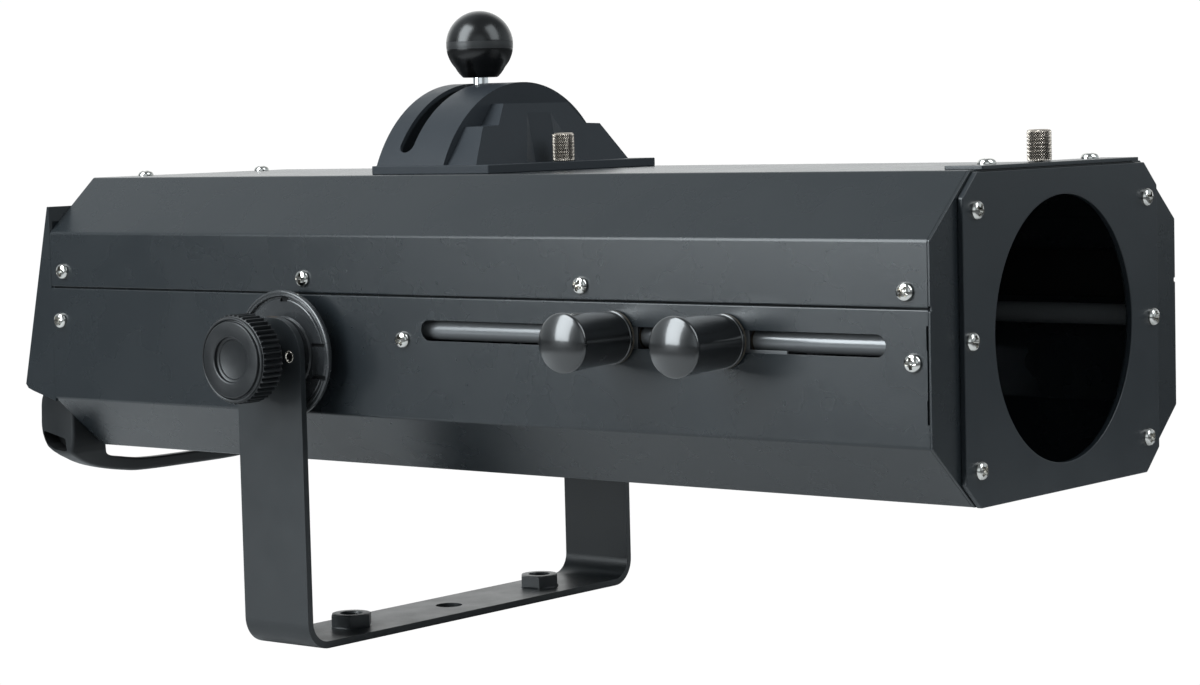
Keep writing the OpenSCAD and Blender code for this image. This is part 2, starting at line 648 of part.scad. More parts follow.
module rear_sockets() {
  color("#1a1b1c") body_frame() {
    for (y = [-101, -73]) on_panel(y, 26) difference() {
      union() {
        cube_c(13, 13, 0, 1.6);
        translate([0, 0, -20]) cylinder(h = 21, r = 11.6);
      }
      translate([0, 0, -12]) cylinder(h = 16, r = 9.4);
    }
    on_panel(-19, 26) difference() {
      union() {
        cube_c(13.5, 11, 0, 1.6, 17);
        translate([-10.8, -14.2, -20]) cube([21.6, 28.4, 21]);
      }
      translate([-8.5, -12, -16]) cube([17, 24, 20]);
    }
    on_panel(-46, 26) difference() {
      union() {
        cube_c(14, 9, 0, 1.4);
        translate([-12, -7, -14]) cube([24, 14, 15]);
      }
      translate([-10.5, -5.4, -9]) cube([21, 10.8, 14]);
      translate([0, 6.4, -2]) rotate([90, 0, 0]) cylinder(h = 12.8, r = 1.25);
    }
  }
}
module cube_c(a, b, z0, z1, b2) {
  bb = is_undef(b2) ? b : b2;
  translate([-a, -bb, z0]) cube([2 * a, 2 * bb, z1 - z0]);
}
module power_rocker() {
  color("#111213") body_frame() on_panel(-46, 26) translate([0, 0, -2]) rotate([0, -7, 0]) union() {
    intersection() {
      translate([-9.4, -5, -3.4]) cube([18.8, 10, 12]);
      translate([0, 6, -6]) rotate([90, 0, 0]) cylinder(h = 12, r = 11.4);
    }
    translate([0, 6.2, 0]) rotate([90, 0, 0]) cylinder(h = 12.4, r = 1.2);
  }
}
module handle_side() polygon([[107, 38], [107, 5], [105.5, -2], [101, -7.5], [92, -11.5], [80, -15.3], [60, -19.2],
  [45, -21.4], [20, -21.9], [-20, -21.9], [-45, -21.4], [-60, -19.2], [-80, -15.3], [-92, -11.5], [-101, -7.5],
  [-105.5, -2], [-107, 5], [-107, 38], [-80, 38], [-80, -3.5], [-78, -6.5], [-74, -8], [-60, -10.2], [-47, -12.6],
  [-20, -13.6], [20, -13.6], [47, -12.6], [60, -10.2], [74, -8], [78, -6.5], [80, -3.5], [80, 38]]);
module handle() {
  color("#1b1c1e") body_frame() difference() {
    intersection() {
      along_x(-250, -185) handle_side();
      along_y(-110, 110) polygon([[-193.2, 31.09], [-193.2, 4], [-195, -4], [-200, -12], [-205, -22.5], [-216.4, -22.5],
        [-218.2, -20.5], [-218.8, -6], [-220, -1.5], [-222, 3.3], [-224, 9], [-224.2, 13], [-223.4, 26], [-221, 33], [-215.8, 37.5], [-211.5, 36]]);
    }
    // a blind finger recess in the outer side of each post
    for (s = [-1, 1]) intersection() {
      along_y(-112, 112) polygon([[-221, 10.2], [-200.3, 5.6], [-199.2, -3], [-204, -3.6], [-211.5, -2], [-217.6, 1], [-220.2, 4.5]]);
      translate([-260, s > 0 ? 95 : -112, -40]) cube([80, 17, 100]);
    }
    for (y = [-98, -90, 90, 98]) zcyl(-204, y, 21, 40, 2.05);
  }
}
module handle_screws() {
  // M4 screws from inside the rear cap down into the handle's posts
  color("#8f9296") body_frame() for (y = [-98, -90, 90, 98]) union() {
    zcyl(-204, y, 22, 39, 2);
    zcyl(-204, y, 38.4, 40.6, 3.6);
  }
}

yoke_strap();
yoke_weld_nuts();
yoke_rivets();
yoke_friction_washers();
near_lock_knob();
near_knob_insert();
far_lock_knob();
far_knob_insert();
upper_shell();
lower_shell();
front_bulkhead();
front_plate();
front_top_strip();
pan_screws();
clip_nuts();
front_thumbscrew();
dome_housing();
dome_thumbscrew();
iris_lever();
iris_ball();
iris_frame();
iris_ring();
iris_blade_1();
iris_blade_2();
iris_blade_3();
iris_blade_4();
iris_blade_5();
iris_blade_6();
clutch_discs();
pivot_studs();
guide_rods();
rod_blocks();
optical_bulkhead();
rear_lens();
rear_lens_cell();
rear_slider_knob();
front_lens();
front_lens_cell();
front_slider_knob();
rod_bushes_rear();
rod_bushes_front();
heatsink();
led_board();
condenser_lens();
condenser_holder();
power_supply();
fan_frame();
fan_rotor();
rear_bulkhead();
rear_cap();
display_window();
menu_button_1();
menu_button_2();
menu_button_3();
menu_button_4();
dimmer_knob();
rear_sockets();
power_rocker();
handle();
handle_screws();
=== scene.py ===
import bpy, bmesh, math
from mathutils import Vector, Matrix


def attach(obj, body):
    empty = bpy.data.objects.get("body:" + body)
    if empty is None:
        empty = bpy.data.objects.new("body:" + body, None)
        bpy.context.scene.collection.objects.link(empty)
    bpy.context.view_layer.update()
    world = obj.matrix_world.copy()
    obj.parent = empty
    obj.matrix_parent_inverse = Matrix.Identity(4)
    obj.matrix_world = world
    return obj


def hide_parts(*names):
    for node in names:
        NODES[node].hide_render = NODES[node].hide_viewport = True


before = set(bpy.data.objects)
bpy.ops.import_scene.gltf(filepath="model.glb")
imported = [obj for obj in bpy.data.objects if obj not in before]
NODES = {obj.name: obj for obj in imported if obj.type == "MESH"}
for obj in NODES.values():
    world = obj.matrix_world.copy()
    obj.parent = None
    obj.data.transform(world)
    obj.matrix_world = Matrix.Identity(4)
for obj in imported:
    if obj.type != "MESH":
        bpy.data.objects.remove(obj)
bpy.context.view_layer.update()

# ---------------------------------------------------------------- frame sizes
AX, LIFT = 17.0, 99.6


def V(x, y, z):
    """Body millimetres to metres in the part's frame."""
    return Vector(((x - AX) / 1000, y / 1000, (z + LIFT) / 1000))


# ---------------------------------------------------------------- materials
def new_mat(name):
    m = bpy.data.materials.new(name)
    m.use_nodes = True
    nt = m.node_tree
    for n in list(nt.nodes):
        nt.nodes.remove(n)
    out = nt.nodes.new("ShaderNodeOutputMaterial")
    b = nt.nodes.new("ShaderNodeBsdfPrincipled")
    nt.links.new(b.outputs["BSDF"], out.inputs["Surface"])
    return m, nt, b


def noise(nt, scale, detail=3.0, rough=0.55, stretch=None, space="Object"):
    tc = nt.nodes.new("ShaderNodeTexCoord")
    n = nt.nodes.new("ShaderNodeTexNoise")
    n.inputs["Scale"].default_value = scale
    n.inputs["Detail"].default_value = detail
    n.inputs["Roughness"].default_value = rough
    if stretch:
        mp = nt.nodes.new("ShaderNodeMapping")
        mp.inputs["Scale"].default_value = stretch
        nt.links.new(tc.outputs[space], mp.inputs["Vector"])
        nt.links.new(mp.outputs["Vector"], n.inputs["Vector"])
    else:
        nt.links.new(tc.outputs[space], n.inputs["Vector"])
    return n


def ramp(nt, src, stops):
    r = nt.nodes.new("ShaderNodeValToRGB")
    el = r.color_ramp.elements
    while len(el) > 1:
        el.remove(el[-1])
    el[0].position, el[0].color = stops[0][0], tuple(stops[0][1])
    for p, c in stops[1:]:
        e = el.new(p)
        e.color = tuple(c)
    nt.links.new(src, r.inputs["Fac"])
    return r


def rgba(c, k=1.0):
    return (c[0] * k, c[1] * k, c[2] * k, 1.0)


def coat_mat(name, col, rough, spec=0.5, metallic=0.0, vary=0.12, mottle=7.0, bump=0.25, grain=900.0, bump_mm=0.03,
             rough_vary=0.06, grain2=None, rub_and_highlight=0.0, rub_and_highlight_col=(0.35, 0.35, 0.34), stretch=None, coat=0.0, coat_rough=0.1):
    """Paint or moulded plastic: colour mottling, uneven gloss, fine grain in the normal and, if asked, lightened edges
    that are partly rubbed wear and partly a painted highlight.
    """
    m, nt, b = new_mat(name)
    b.inputs["Metallic"].default_value = metallic
    b.inputs["Specular IOR Level"].default_value = spec
    if coat:
        b.inputs["Coat Weight"].default_value = coat
        b.inputs["Coat Roughness"].default_value = coat_rough
    n1 = noise(nt, mottle, 4.0, 0.6, stretch)
    c = ramp(nt, n1.outputs["Fac"], [(0.3, rgba(col, 1 - vary)), (0.7, rgba(col, 1 + vary))])
    colour = c.outputs["Color"]
    if rub_and_highlight > 0:
        # convex edges lightened by pointiness: partly rubbed wear, partly a painted highlight on ridges and tips
        g = nt.nodes.new("ShaderNodeNewGeometry")
        n3 = noise(nt, 160.0, 4.0, 0.7)
        mr = nt.nodes.new("ShaderNodeMapRange")
        mr.inputs["From Min"].default_value = 0.53
        mr.inputs["From Max"].default_value = 0.62
        nt.links.new(g.outputs["Pointiness"], mr.inputs["Value"])
        mu = nt.nodes.new("ShaderNodeMath")
        mu.operation = "MULTIPLY"
        nt.links.new(mr.outputs["Result"], mu.inputs[0])
        r3 = ramp(nt, n3.outputs["Fac"], [(0.4, (0, 0, 0, 1)), (0.75, (rub_and_highlight, rub_and_highlight, rub_and_highlight, 1))])
        nt.links.new(r3.outputs["Color"], mu.inputs[1])
        mx = nt.nodes.new("ShaderNodeMix")
        mx.data_type = "RGBA"
        nt.links.new(mu.outputs["Value"], mx.inputs["Factor"])
        nt.links.new(colour, mx.inputs["A"])
        mx.inputs["B"].default_value = rgba(rub_and_highlight_col)
        colour = mx.outputs["Result"]
    nt.links.new(colour, b.inputs["Base Color"])
    n2 = noise(nt, mottle * 5.3, 3.0, 0.6)
    rr = ramp(nt, n2.outputs["Fac"], [(0.3, (rough - rough_vary,) * 3 + (1,)), (0.7, (rough + rough_vary,) * 3 + (1,))])
    nt.links.new(rr.outputs["Color"], b.inputs["Roughness"])
    gr = noise(nt, grain, 2.0, 0.5)
    bp = nt.nodes.new("ShaderNodeBump")
    bp.inputs["Strength"].default_value = bump
    bp.inputs["Distance"].default_value = bump_mm / 1000
    nt.links.new(gr.outputs["Fac"], bp.inputs["Height"])
    last = bp
    if grain2:
        g2 = noise(nt, grain2, 3.0, 0.6)
        b2 = nt.nodes.new("ShaderNodeBump")
        b2.inputs["Strength"].default_value = bump * 0.8
        b2.inputs["Distance"].default_value = bump_mm * 3 / 1000
        nt.links.new(g2.outputs["Fac"], b2.inputs["Height"])
        nt.links.new(bp.outputs["Normal"], b2.inputs["Normal"])
        last = b2
    nt.links.new(last.outputs["Normal"], b.inputs["Normal"])
    return m


def metal_mat(name, col, rough, vary=0.08, grain=500.0, bump=0.15, stretch=None, bump_mm=0.01, anis=0.0, rough_vary=0.05):
    m, nt, b = new_mat(name)
    b.inputs["Metallic"].default_value = 1.0
    if anis:
        b.inputs["Anisotropic"].default_value = anis
    n1 = noise(nt, 60.0, 4.0, 0.6, stretch)
    c = ramp(nt, n1.outputs["Fac"], [(0.3, rgba(col, 1 - vary)), (0.7, rgba(col, 1 + vary))])
    nt.links.new(c.outputs["Color"], b.inputs["Base Color"])
    rr = ramp(nt, n1.outputs["Fac"], [(0.3, (max(rough - rough_vary, 0.02),) * 3 + (1,)), (0.7, (rough + rough_vary,) * 3 + (1,))])
    nt.links.new(rr.outputs["Color"], b.inputs["Roughness"])
    gr = noise(nt, grain, 2.0, 0.5, stretch)
    bp = nt.nodes.new("ShaderNodeBump")
    bp.inputs["Strength"].default_value = bump
    bp.inputs["Distance"].default_value = bump_mm / 1000
    nt.links.new(gr.outputs["Fac"], bp.inputs["Height"])
    nt.links.new(bp.outputs["Normal"], b.inputs["Normal"])
    return m


def glass_mat(name, tint, ior=1.52):
    m, nt, b = new_mat(name)
    b.inputs["Transmission Weight"].default_value = 1.0
    b.inputs["IOR"].default_value = ior
    b.inputs["Roughness"].default_value = 0.0
    n1 = noise(nt, 12.0)
    c = ramp(nt, n1.outputs["Fac"], [(0.3, rgba(tint, 0.97)), (0.7, rgba(tint))])
    nt.links.new(c.outputs["Color"], b.inputs["Base Color"])
    return m


SHELL = coat_mat("shell_paint", (0.0105, 0.0132, 0.0154), 0.275, spec=0.5, vary=0.05, mottle=5.0, bump=0.5, grain=900, bump_mm=0.035, grain2=1700, rough_vary=0.02)
FRONT = coat_mat("front_paint", (0.0110, 0.0142, 0.0172), 0.34, spec=0.5, vary=0.06, mottle=6.0, bump=0.45, grain=900, bump_mm=0.03, grain2=1700, rough_vary=0.04)
YOKE = coat_mat("yoke_paint", (0.0100, 0.0118, 0.0132), 0.37, spec=0.5, vary=0.08, mottle=9.0, bump=0.45, grain=950, bump_mm=0.035, grain2=1700, rough_vary=0.04)
DOME = coat_mat("dome_plastic", (0.0235, 0.0272, 0.0318), 0.40, spec=0.16, vary=0.05, mottle=10, bump=0.50, grain=1100, bump_mm=0.04, grain2=2000)
HANDLE = coat_mat("handle_plastic", (0.0070, 0.0080, 0.0088), 0.42, spec=0.30, vary=0.06, mottle=12, bump=0.35, grain=1500, bump_mm=0.03)
# rib edges lightened: rubbed wear plus a painted highlight on the tooth tips
KNOB = coat_mat("knob_plastic", (0.0075, 0.0083, 0.0092), 0.34, spec=0.40, vary=0.08, mottle=20, bump=0.30, grain=1300, bump_mm=0.025, rub_and_highlight=0.8, rub_and_highlight_col=(0.10, 0.10, 0.10))
DISC = coat_mat("disc_plastic", (0.0240, 0.0255, 0.0272), 0.25, spec=0.75, vary=0.08, mottle=14, bump=0.30, grain=1300, bump_mm=0.02)
GLOSS = coat_mat("gloss_plastic", (0.0030, 0.0030, 0.0032), 0.23, spec=0.5, vary=0.05, mottle=10, bump=0.03, grain=400, bump_mm=0.02, rough_vary=0.015)
SLIDER = coat_mat("slider_plastic", (0.0045, 0.0048, 0.0052), 0.30, spec=0.5, vary=0.05, mottle=14, bump=0.06, grain=700, bump_mm=0.02, rough_vary=0.03, coat=1.0, coat_rough=0.12)
BAND = coat_mat("ball_band", (0.016, 0.0165, 0.017), 0.38, spec=0.5, vary=0.08, mottle=30, bump=0.2, grain=1500, bump_mm=0.02)
# black for parts that are black, and also put on recess walls, bores, grooves and the seam gap as painted shade
INNER_BLACK_AND_SHADE = coat_mat("inner_black", (0.0045, 0.0047, 0.0050), 0.75, spec=0.2, vary=0.1, mottle=12, bump=0.3, grain=1200, bump_mm=0.03)
RUBBER = coat_mat("socket_plastic", (0.010, 0.010, 0.011), 0.55, spec=0.4, vary=0.06, mottle=18, bump=0.3, grain=1500, bump_mm=0.03)
BUTTON = coat_mat("button_plastic", (0.055, 0.057, 0.060), 0.45, spec=0.45, vary=0.05, mottle=30, bump=0.25, grain=1500, bump_mm=0.02)
NICKEL = metal_mat("nickel", (0.62, 0.605, 0.575), 0.10, vary=0.10, grain=900, bump=0.12, rough_vary=0.03)
RIVET = metal_mat("rivet_nickel", (0.82, 0.75, 0.66), 0.22, vary=0.10, grain=900, bump=0.12, rough_vary=0.03)
CHROME = metal_mat("chrome_stem", (0.80, 0.80, 0.80), 0.06, vary=0.03, grain=600, bump=0.04)
STEEL = coat_mat("rod_steel", (0.160, 0.165, 0.170), 0.25, spec=0.7, metallic=0.25, vary=0.06, mottle=12, bump=0.04, grain=900, bump_mm=0.01, rough_vary=0.015, stretch=(0.05, 1, 1))
ZINC = metal_mat("zinc_plate", (0.46, 0.46, 0.44), 0.34, vary=0.16, grain=700, bump=0.25)
KNURL = metal_mat("knurl_bronze", (0.52, 0.46, 0.40), 0.32, vary=0.15, grain=900, bump=0.2)
# near-black metal painted into the knurl's grooves as shade
KNURL_PAINTED_SHADE = metal_mat("knurl_groove_painted_shade", (0.032, 0.028, 0.024), 0.45, vary=0.25, grain=900, bump=0.3)
ALLOY = metal_mat("alloy", (0.48, 0.48, 0.49), 0.36, vary=0.08, grain=500, bump=0.2, stretch=(1, 0.1, 1))
ALLOY_BLACK = coat_mat("alloy_black", (0.012, 0.012, 0.013), 0.45, spec=0.5, vary=0.10, mottle=30, bump=0.25, grain=1200, bump_mm=0.02)
GREYCLIP = coat_mat("carriage_grey", (0.130, 0.134, 0.138), 0.42, spec=0.5, vary=0.08, mottle=30, bump=0.25, grain=1200, bump_mm=0.02)
BRASS = metal_mat("brass", (0.55, 0.42, 0.20), 0.28, vary=0.1)
BRONZE = metal_mat("bush_bronze", (0.10, 0.075, 0.05), 0.45, vary=0.15)
FRICTION = coat_mat("friction_fibre", (0.045, 0.035, 0.028), 0.85, spec=0.3, vary=0.25, mottle=220, bump=0.5, grain=900, bump_mm=0.06)
WASHER = coat_mat("washer_fibre", (0.060, 0.050, 0.036), 0.50, spec=0.4, vary=0.2, mottle=120, bump=0.3, grain=900, bump_mm=0.03)
GLASS = glass_mat("lens_glass", (0.93, 0.97, 0.98))
BOARD = coat_mat("led_board", (0.60, 0.57, 0.46), 0.5, vary=0.05, mottle=60)
SCREEN = coat_mat("display_glass", (0.004, 0.010, 0.013), 0.08, spec=0.6, vary=0.05, mottle=20, bump=0.02, rough_vary=0.02)
LETTER = coat_mat("legend_white", (0.62, 0.63, 0.62), 0.5, vary=0.03, mottle=60)

# ---------------------------------------------------------------- mesh helpers
COLL = bpy.context.scene.collection


def obj_from(name, bm_or_mesh, mat, body, replaces=None, smooth=35.0):
    if isinstance(bm_or_mesh, bmesh.types.BMesh):
        me = bpy.data.meshes.new(name)
        bmesh.ops.recalc_face_normals(bm_or_mesh, faces=bm_or_mesh.faces)
        bm_or_mesh.to_mesh(me)
        bm_or_mesh.free()
    else:
        me = bm_or_mesh
    for mm in (mat if isinstance(mat, (list, tuple)) else [mat]):
        me.materials.append(mm)
    o = bpy.data.objects.new(name, me)
    COLL.objects.link(o)
    if smooth is not None:
        shade(o, smooth)
    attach(o, body)
    if replaces:
        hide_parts(*([replaces] if isinstance(replaces, str) else replaces))
    return o


def shade(o, angle=35.0):
    me = o.data
    for p in me.polygons:
        p.use_smooth = True
    bm = bmesh.new()
    bm.from_mesh(me)
    lim = math.radians(angle)
    for e in bm.edges:
        if len(e.link_faces) == 2:
            e.smooth = e.calc_face_angle(0.0) < lim
        else:
            e.smooth = False
    bm.to_mesh(me)
    bm.free()


def apply_mods(o):
    dg = bpy.context.evaluated_depsgraph_get()
    dg.update()
    me = bpy.data.meshes.new_from_object(o.evaluated_get(dg), preserve_all_data_layers=True, depsgraph=dg)
    old = o.data
    o.modifiers.clear()
    o.data = me
    me.name = old.name
    return o


def tmp_obj(bm, name="tmp"):
    me = bpy.data.meshes.new(name)
    bmesh.ops.recalc_face_normals(bm, faces=bm.faces)
    bm.to_mesh(me)
    bm.free()
    o = bpy.data.objects.new(name, me)
    COLL.objects.link(o)
    return o


def cut(o, cutters, op="DIFFERENCE"):
    for c in cutters:
        md = o.modifiers.new("cut", "BOOLEAN")
        md.operation = op
        md.solver = "EXACT"
        md.object = c
    apply_mods(o)
    for c in cutters:
        me = c.data
        bpy.data.objects.remove(c)
        bpy.data.meshes.remove(me)
    return o


def bevel(o, w, seg=2, angle=32.0, shade_angle=None, clamp=True, flat=False):
    bm = bmesh.new()
    bm.from_mesh(o.data)
    bmesh.ops.remove_doubles(bm, verts=bm.verts, dist=1e-6)
    bmesh.ops.dissolve_degenerate(bm, dist=1e-6, edges=bm.edges)
    bmesh.ops.dissolve_limit(bm, angle_limit=math.radians(0.6), verts=bm.verts, edges=bm.edges)
    bm.to_mesh(o.data)
    bm.free()
    md = o.modifiers.new("bevel", "BEVEL")
    md.width = w / 1000
    md.segments = seg
    md.limit_method = "ANGLE"
    md.angle_limit = math.radians(angle)
    md.harden_normals = False
    md.use_clamp_overlap = clamp
    apply_mods(o)
    if flat:
        for f in o.data.polygons:
            f.use_smooth = False
        return o
    shade(o, 40.0 if shade_angle is None else shade_angle)
    wn = o.modifiers.new("wn", "WEIGHTED_NORMAL")
    wn.keep_sharp = True
    wn.weight = 80
    apply_mods(o)
    return o


def bm_prism(pts, a0, a1, axis="x", world=False):
    """Closed outline extruded along an axis. pts are (y,z) for x, (x,z) for y, (x,y) for z; body millimetres."""
    bm = bmesh.new()

    def P(p, a):
        if axis == "x":
            q = (a, p[0], p[1])
        elif axis == "y":
            q = (p[0], a, p[1])
        else:
            q = (p[0], p[1], a)
        return Vector((q[0] / 1000, q[1] / 1000, q[2] / 1000)) if world else V(*q)
    A = [bm.verts.new(P(p, a0)) for p in pts]
    B = [bm.verts.new(P(p, a1)) for p in pts]
    n = len(pts)
    bm.faces.new(A)
    bm.faces.new(B[::-1])
    for i in range(n):
        j = (i + 1) % n
        bm.faces.new((A[j], A[i], B[i], B[j]))
    return bm


def fillet(pts, radii, seg=6, closed=True):
    """Rounds the corners of a polygon or polyline."""
    out = []
    n = len(pts)
    if not isinstance(radii, (list, tuple)):
        radii = [radii] * n
    for i, p in enumerate(pts):
        r = radii[i]
        if r <= 0 or (not closed and i in (0, n - 1)):
            out.append(tuple(p))
            continue
        a, b, c = Vector(pts[i - 1]), Vector(p), Vector(pts[(i + 1) % n])
        u, v = (a - b), (c - b)
        lu, lv = u.length, v.length
        u.normalize(); v.normalize()
        ang = math.acos(max(-1, min(1, u.dot(v))))
        if ang > math.pi - 1e-3:
            out.append(tuple(p))
            continue
        t = min(r / math.tan(ang / 2), lu * 0.49, lv * 0.49)
        rr = t * math.tan(ang / 2)
        bis = (u + v).normalized()
        ctr = b + bis * (rr / math.sin(ang / 2))
        s, e = b + u * t - ctr, b + v * t - ctr
        a0 = math.atan2(s.y, s.x)
        a1 = math.atan2(e.y, e.x)
        d = a1 - a0
        while d > math.pi:
            d -= 2 * math.pi
        while d < -math.pi:
            d += 2 * math.pi
        for k in range(seg + 1):
            t_ = a0 + d * k / seg
            out.append((ctr.x + rr * math.cos(t_), ctr.y + rr * math.sin(t_)))
    return out


def circle_pts(cx, cy, r, n=64, a0=0.0):
    return [(cx + r * math.cos(a0 + 2 * math.pi * i / n), cy + r * math.sin(a0 + 2 * math.pi * i / n)) for i in range(n)]


def slot_pts(x0, x1, zc, r, n=16):
    pts = []
    for i in range(n + 1):
        a = -math.pi / 2 + math.pi * i / n
        pts.append((x1 - r + r * math.cos(a), zc + r * math.sin(a)))
    for i in range(n + 1):
        a = math.pi / 2 + math.pi * i / n
        pts.append((x0 + r + r * math.cos(a), zc + r * math.sin(a)))
    return pts


def plate(name, outline, holes, a0, a1, axis, mat, body, edge=0.4, replaces=None, seg=2, angle=40.0):
    """A plate with holes and rounded edges, from filled curves."""
    cu = bpy.data.curves.new(name, "CURVE")
    cu.dimensions = "2D"
    cu.fill_mode = "BOTH"
    th = (a1 - a0) / 2
    cu.extrude = (th - edge) / 1000
    cu.bevel_depth = edge / 1000
    cu.bevel_resolution = seg
    cu.offset = -edge / 1000
    for pts in [outline] + holes:
        sp = cu.splines.new("POLY")
        sp.points.add(len(pts) - 1)
        for q, p in zip(sp.points, pts):
            q.co = (p[0] / 1000, p[1] / 1000, 0, 1)
        sp.use_cyclic_u = True
    o = bpy.data.objects.new(name + "_c", cu)
    COLL.objects.link(o)
    dg = bpy.context.evaluated_depsgraph_get()
    dg.update()
    me = bpy.data.meshes.new_from_object(o.evaluated_get(dg))
    bpy.data.objects.remove(o)
    bpy.data.curves.remove(cu)
    mid = (a0 + a1) / 2
    for v in me.vertices:
        c = v.co * 1000
        if axis == "x":
            q = (mid + c.z, c.x, c.y)
        elif axis == "y":
            q = (c.x, mid - c.z, c.y)
        else:
            q = (c.x, c.y, mid + c.z)
        v.co = V(*q)
    me.name = name
    me.materials.clear()
    bm = bmesh.new()
    bm.from_mesh(me)
    bmesh.ops.remove_doubles(bm, verts=bm.verts, dist=2e-6)
    o = obj_from(name, bm, mat, body, replaces, angle)
    wn = o.modifiers.new("wn", "WEIGHTED_NORMAL")
    wn.keep_sharp = True
    wn.weight = 80
    return apply_mods(o)


def bm_lathe(profile, seg=96, mod=None):
    """profile: list of (r, h) in mm; revolved about local z. mod(r, h, angle) may change r."""
    bm = bmesh.new()
    rings = []
    for (r, h) in profile:
        if r < 1e-6:
            rings.append([bm.verts.new((0, 0, h / 1000))])
        else:
            ring = []
            for i in range(seg):
                a = 2 * math.pi * i / seg
                rr = mod(r, h, a) if mod else r
                ring.append(bm.verts.new((rr / 1000 * math.cos(a), rr / 1000 * math.sin(a), h / 1000)))
            rings.append(ring)
    for A, B in zip(rings, rings[1:]):
        if len(A) == 1 and len(B) == 1:
            continue
        for i in range(seg):
            j = (i + 1) % seg
            if len(A) == 1:
                bm.faces.new((A[0], B[i], B[j]))
            elif len(B) == 1:
                bm.faces.new((A[i], A[j], B[0]))
            else:
                bm.faces.new((A[i], A[j], B[j], B[i]))
    return bm


def place(bm, pos, zdir, xdir=None):
    """Moves a bmesh from local axes to pos (metres) with its z along zdir."""
    z = Vector(zdir).normalized()
    x = Vector(xdir).normalized() if xdir else (Vector((0, 0, 1)) if abs(z.z) < 0.9 else Vector((1, 0, 0)))
    y = z.cross(x).normalized()
    x = y.cross(z).normalized()
    M = Matrix(((x.x, y.x, z.x, pos[0]), (x.y, y.y, z.y, pos[1]), (x.z, y.z, z.z, pos[2]), (0, 0, 0, 1)))
    bmesh.ops.transform(bm, matrix=M, verts=bm.verts)
    return bm


def prof(pts, r=0.5, seg=4):
    """Rounds a lathe profile's corners."""
    return fillet(pts, [0] + [r] * (len(pts) - 2) + [0] if not isinstance(r, (list, tuple)) else r, seg, closed=False)


def join_bm(parts):
    out = bmesh.new()
    for p in parts:
        me = bpy.data.meshes.new("j")
        bmesh.ops.recalc_face_normals(p, faces=p.faces)
        p.to_mesh(me)
        p.free()
        out.from_mesh(me)
        bpy.data.meshes.remove(me)
    return out


def from_cad(node, name, mat, body, w=0.4, seg=2, angle=32.0, slot=None):
    """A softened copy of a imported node: merged, cleaned and given rounded edges."""
    src = NODES[node]
    me = src.data.copy()
    me.materials.clear()
    o = bpy.data.objects.new(name, me)
    COLL.objects.link(o)
    me.materials.append(mat)
    for p in me.polygons:
        p.material_index = 0
    bevel(o, w, seg, angle)
    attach(o, body)
    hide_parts(node)
    return o


def set_mat(node, mat):
    o = NODES[node]
    if not o.material_slots:
        o.data.materials.append(mat)
    for s in o.material_slots:
        s.material = mat


# ---------------------------------------------------------------- body shells
HW, FT, CH, H = 122.0, 84.75, 32.4, 165.6
XF = 441.6
XR = XF - 632.6
SEAM = 100.2
CA = math.atan2(CH, HW - FT)


def section(t):
    """Half octagon corners inset by t: returns y1, y2 and z2, from which the outlines for the upper and lower shell are
    built, near bottom to near top then across.
    """
    y1 = FT - t * math.tan(CA / 2)
    y2 = HW - t
    z2 = CH + t * math.tan((math.pi / 2 - CA) / 2)
    return y1, y2, z2


def shell_bm(upper, x0, x1, nx=2):
    """Bent sheet with a folded hem of 1.8 mm along its seam edge, rounded outside."""
    t, hem, rr = 1.0, 1.8, 0.8
    sgn = 1 if upper else -1
    seamz = SEAM + 0.30 if upper else SEAM - 0.45
    loops = []
    for tt, rad in ((0.0, 2.6), (t, 1.6)):
        y1, y2, z2 = section(tt)
        if upper:
            pts = [(-y2, seamz), (-y2, H - z2), (-y1, H - tt), (y1, H - tt), (y2, H - z2), (y2, seamz)]
        else:
            pts = [(-y2, seamz), (-y2, z2), (-y1, tt), (y1, tt), (y2, z2), (y2, seamz)]
        loops.append(fillet(pts, rad, 6, closed=False)[1:-1])
    fold = []
    for k in range(7):
        a = math.pi / 2 * k / 6
        fold.append((HW - rr + rr * math.cos(a), seamz + sgn * (rr - rr * math.sin(a))))
    fold += [(HW - hem + 0.5, seamz), (HW - hem, seamz + sgn * 0.5), (HW - hem, seamz + sgn * 7.5), (HW - t, seamz + sgn * 8.0)]
    left = [(-y, z) for y, z in fold][::-1]
    ring = left + loops[0] + fold + loops[1][::-1]
    return bm_prism(ring, x0, x1, "x")


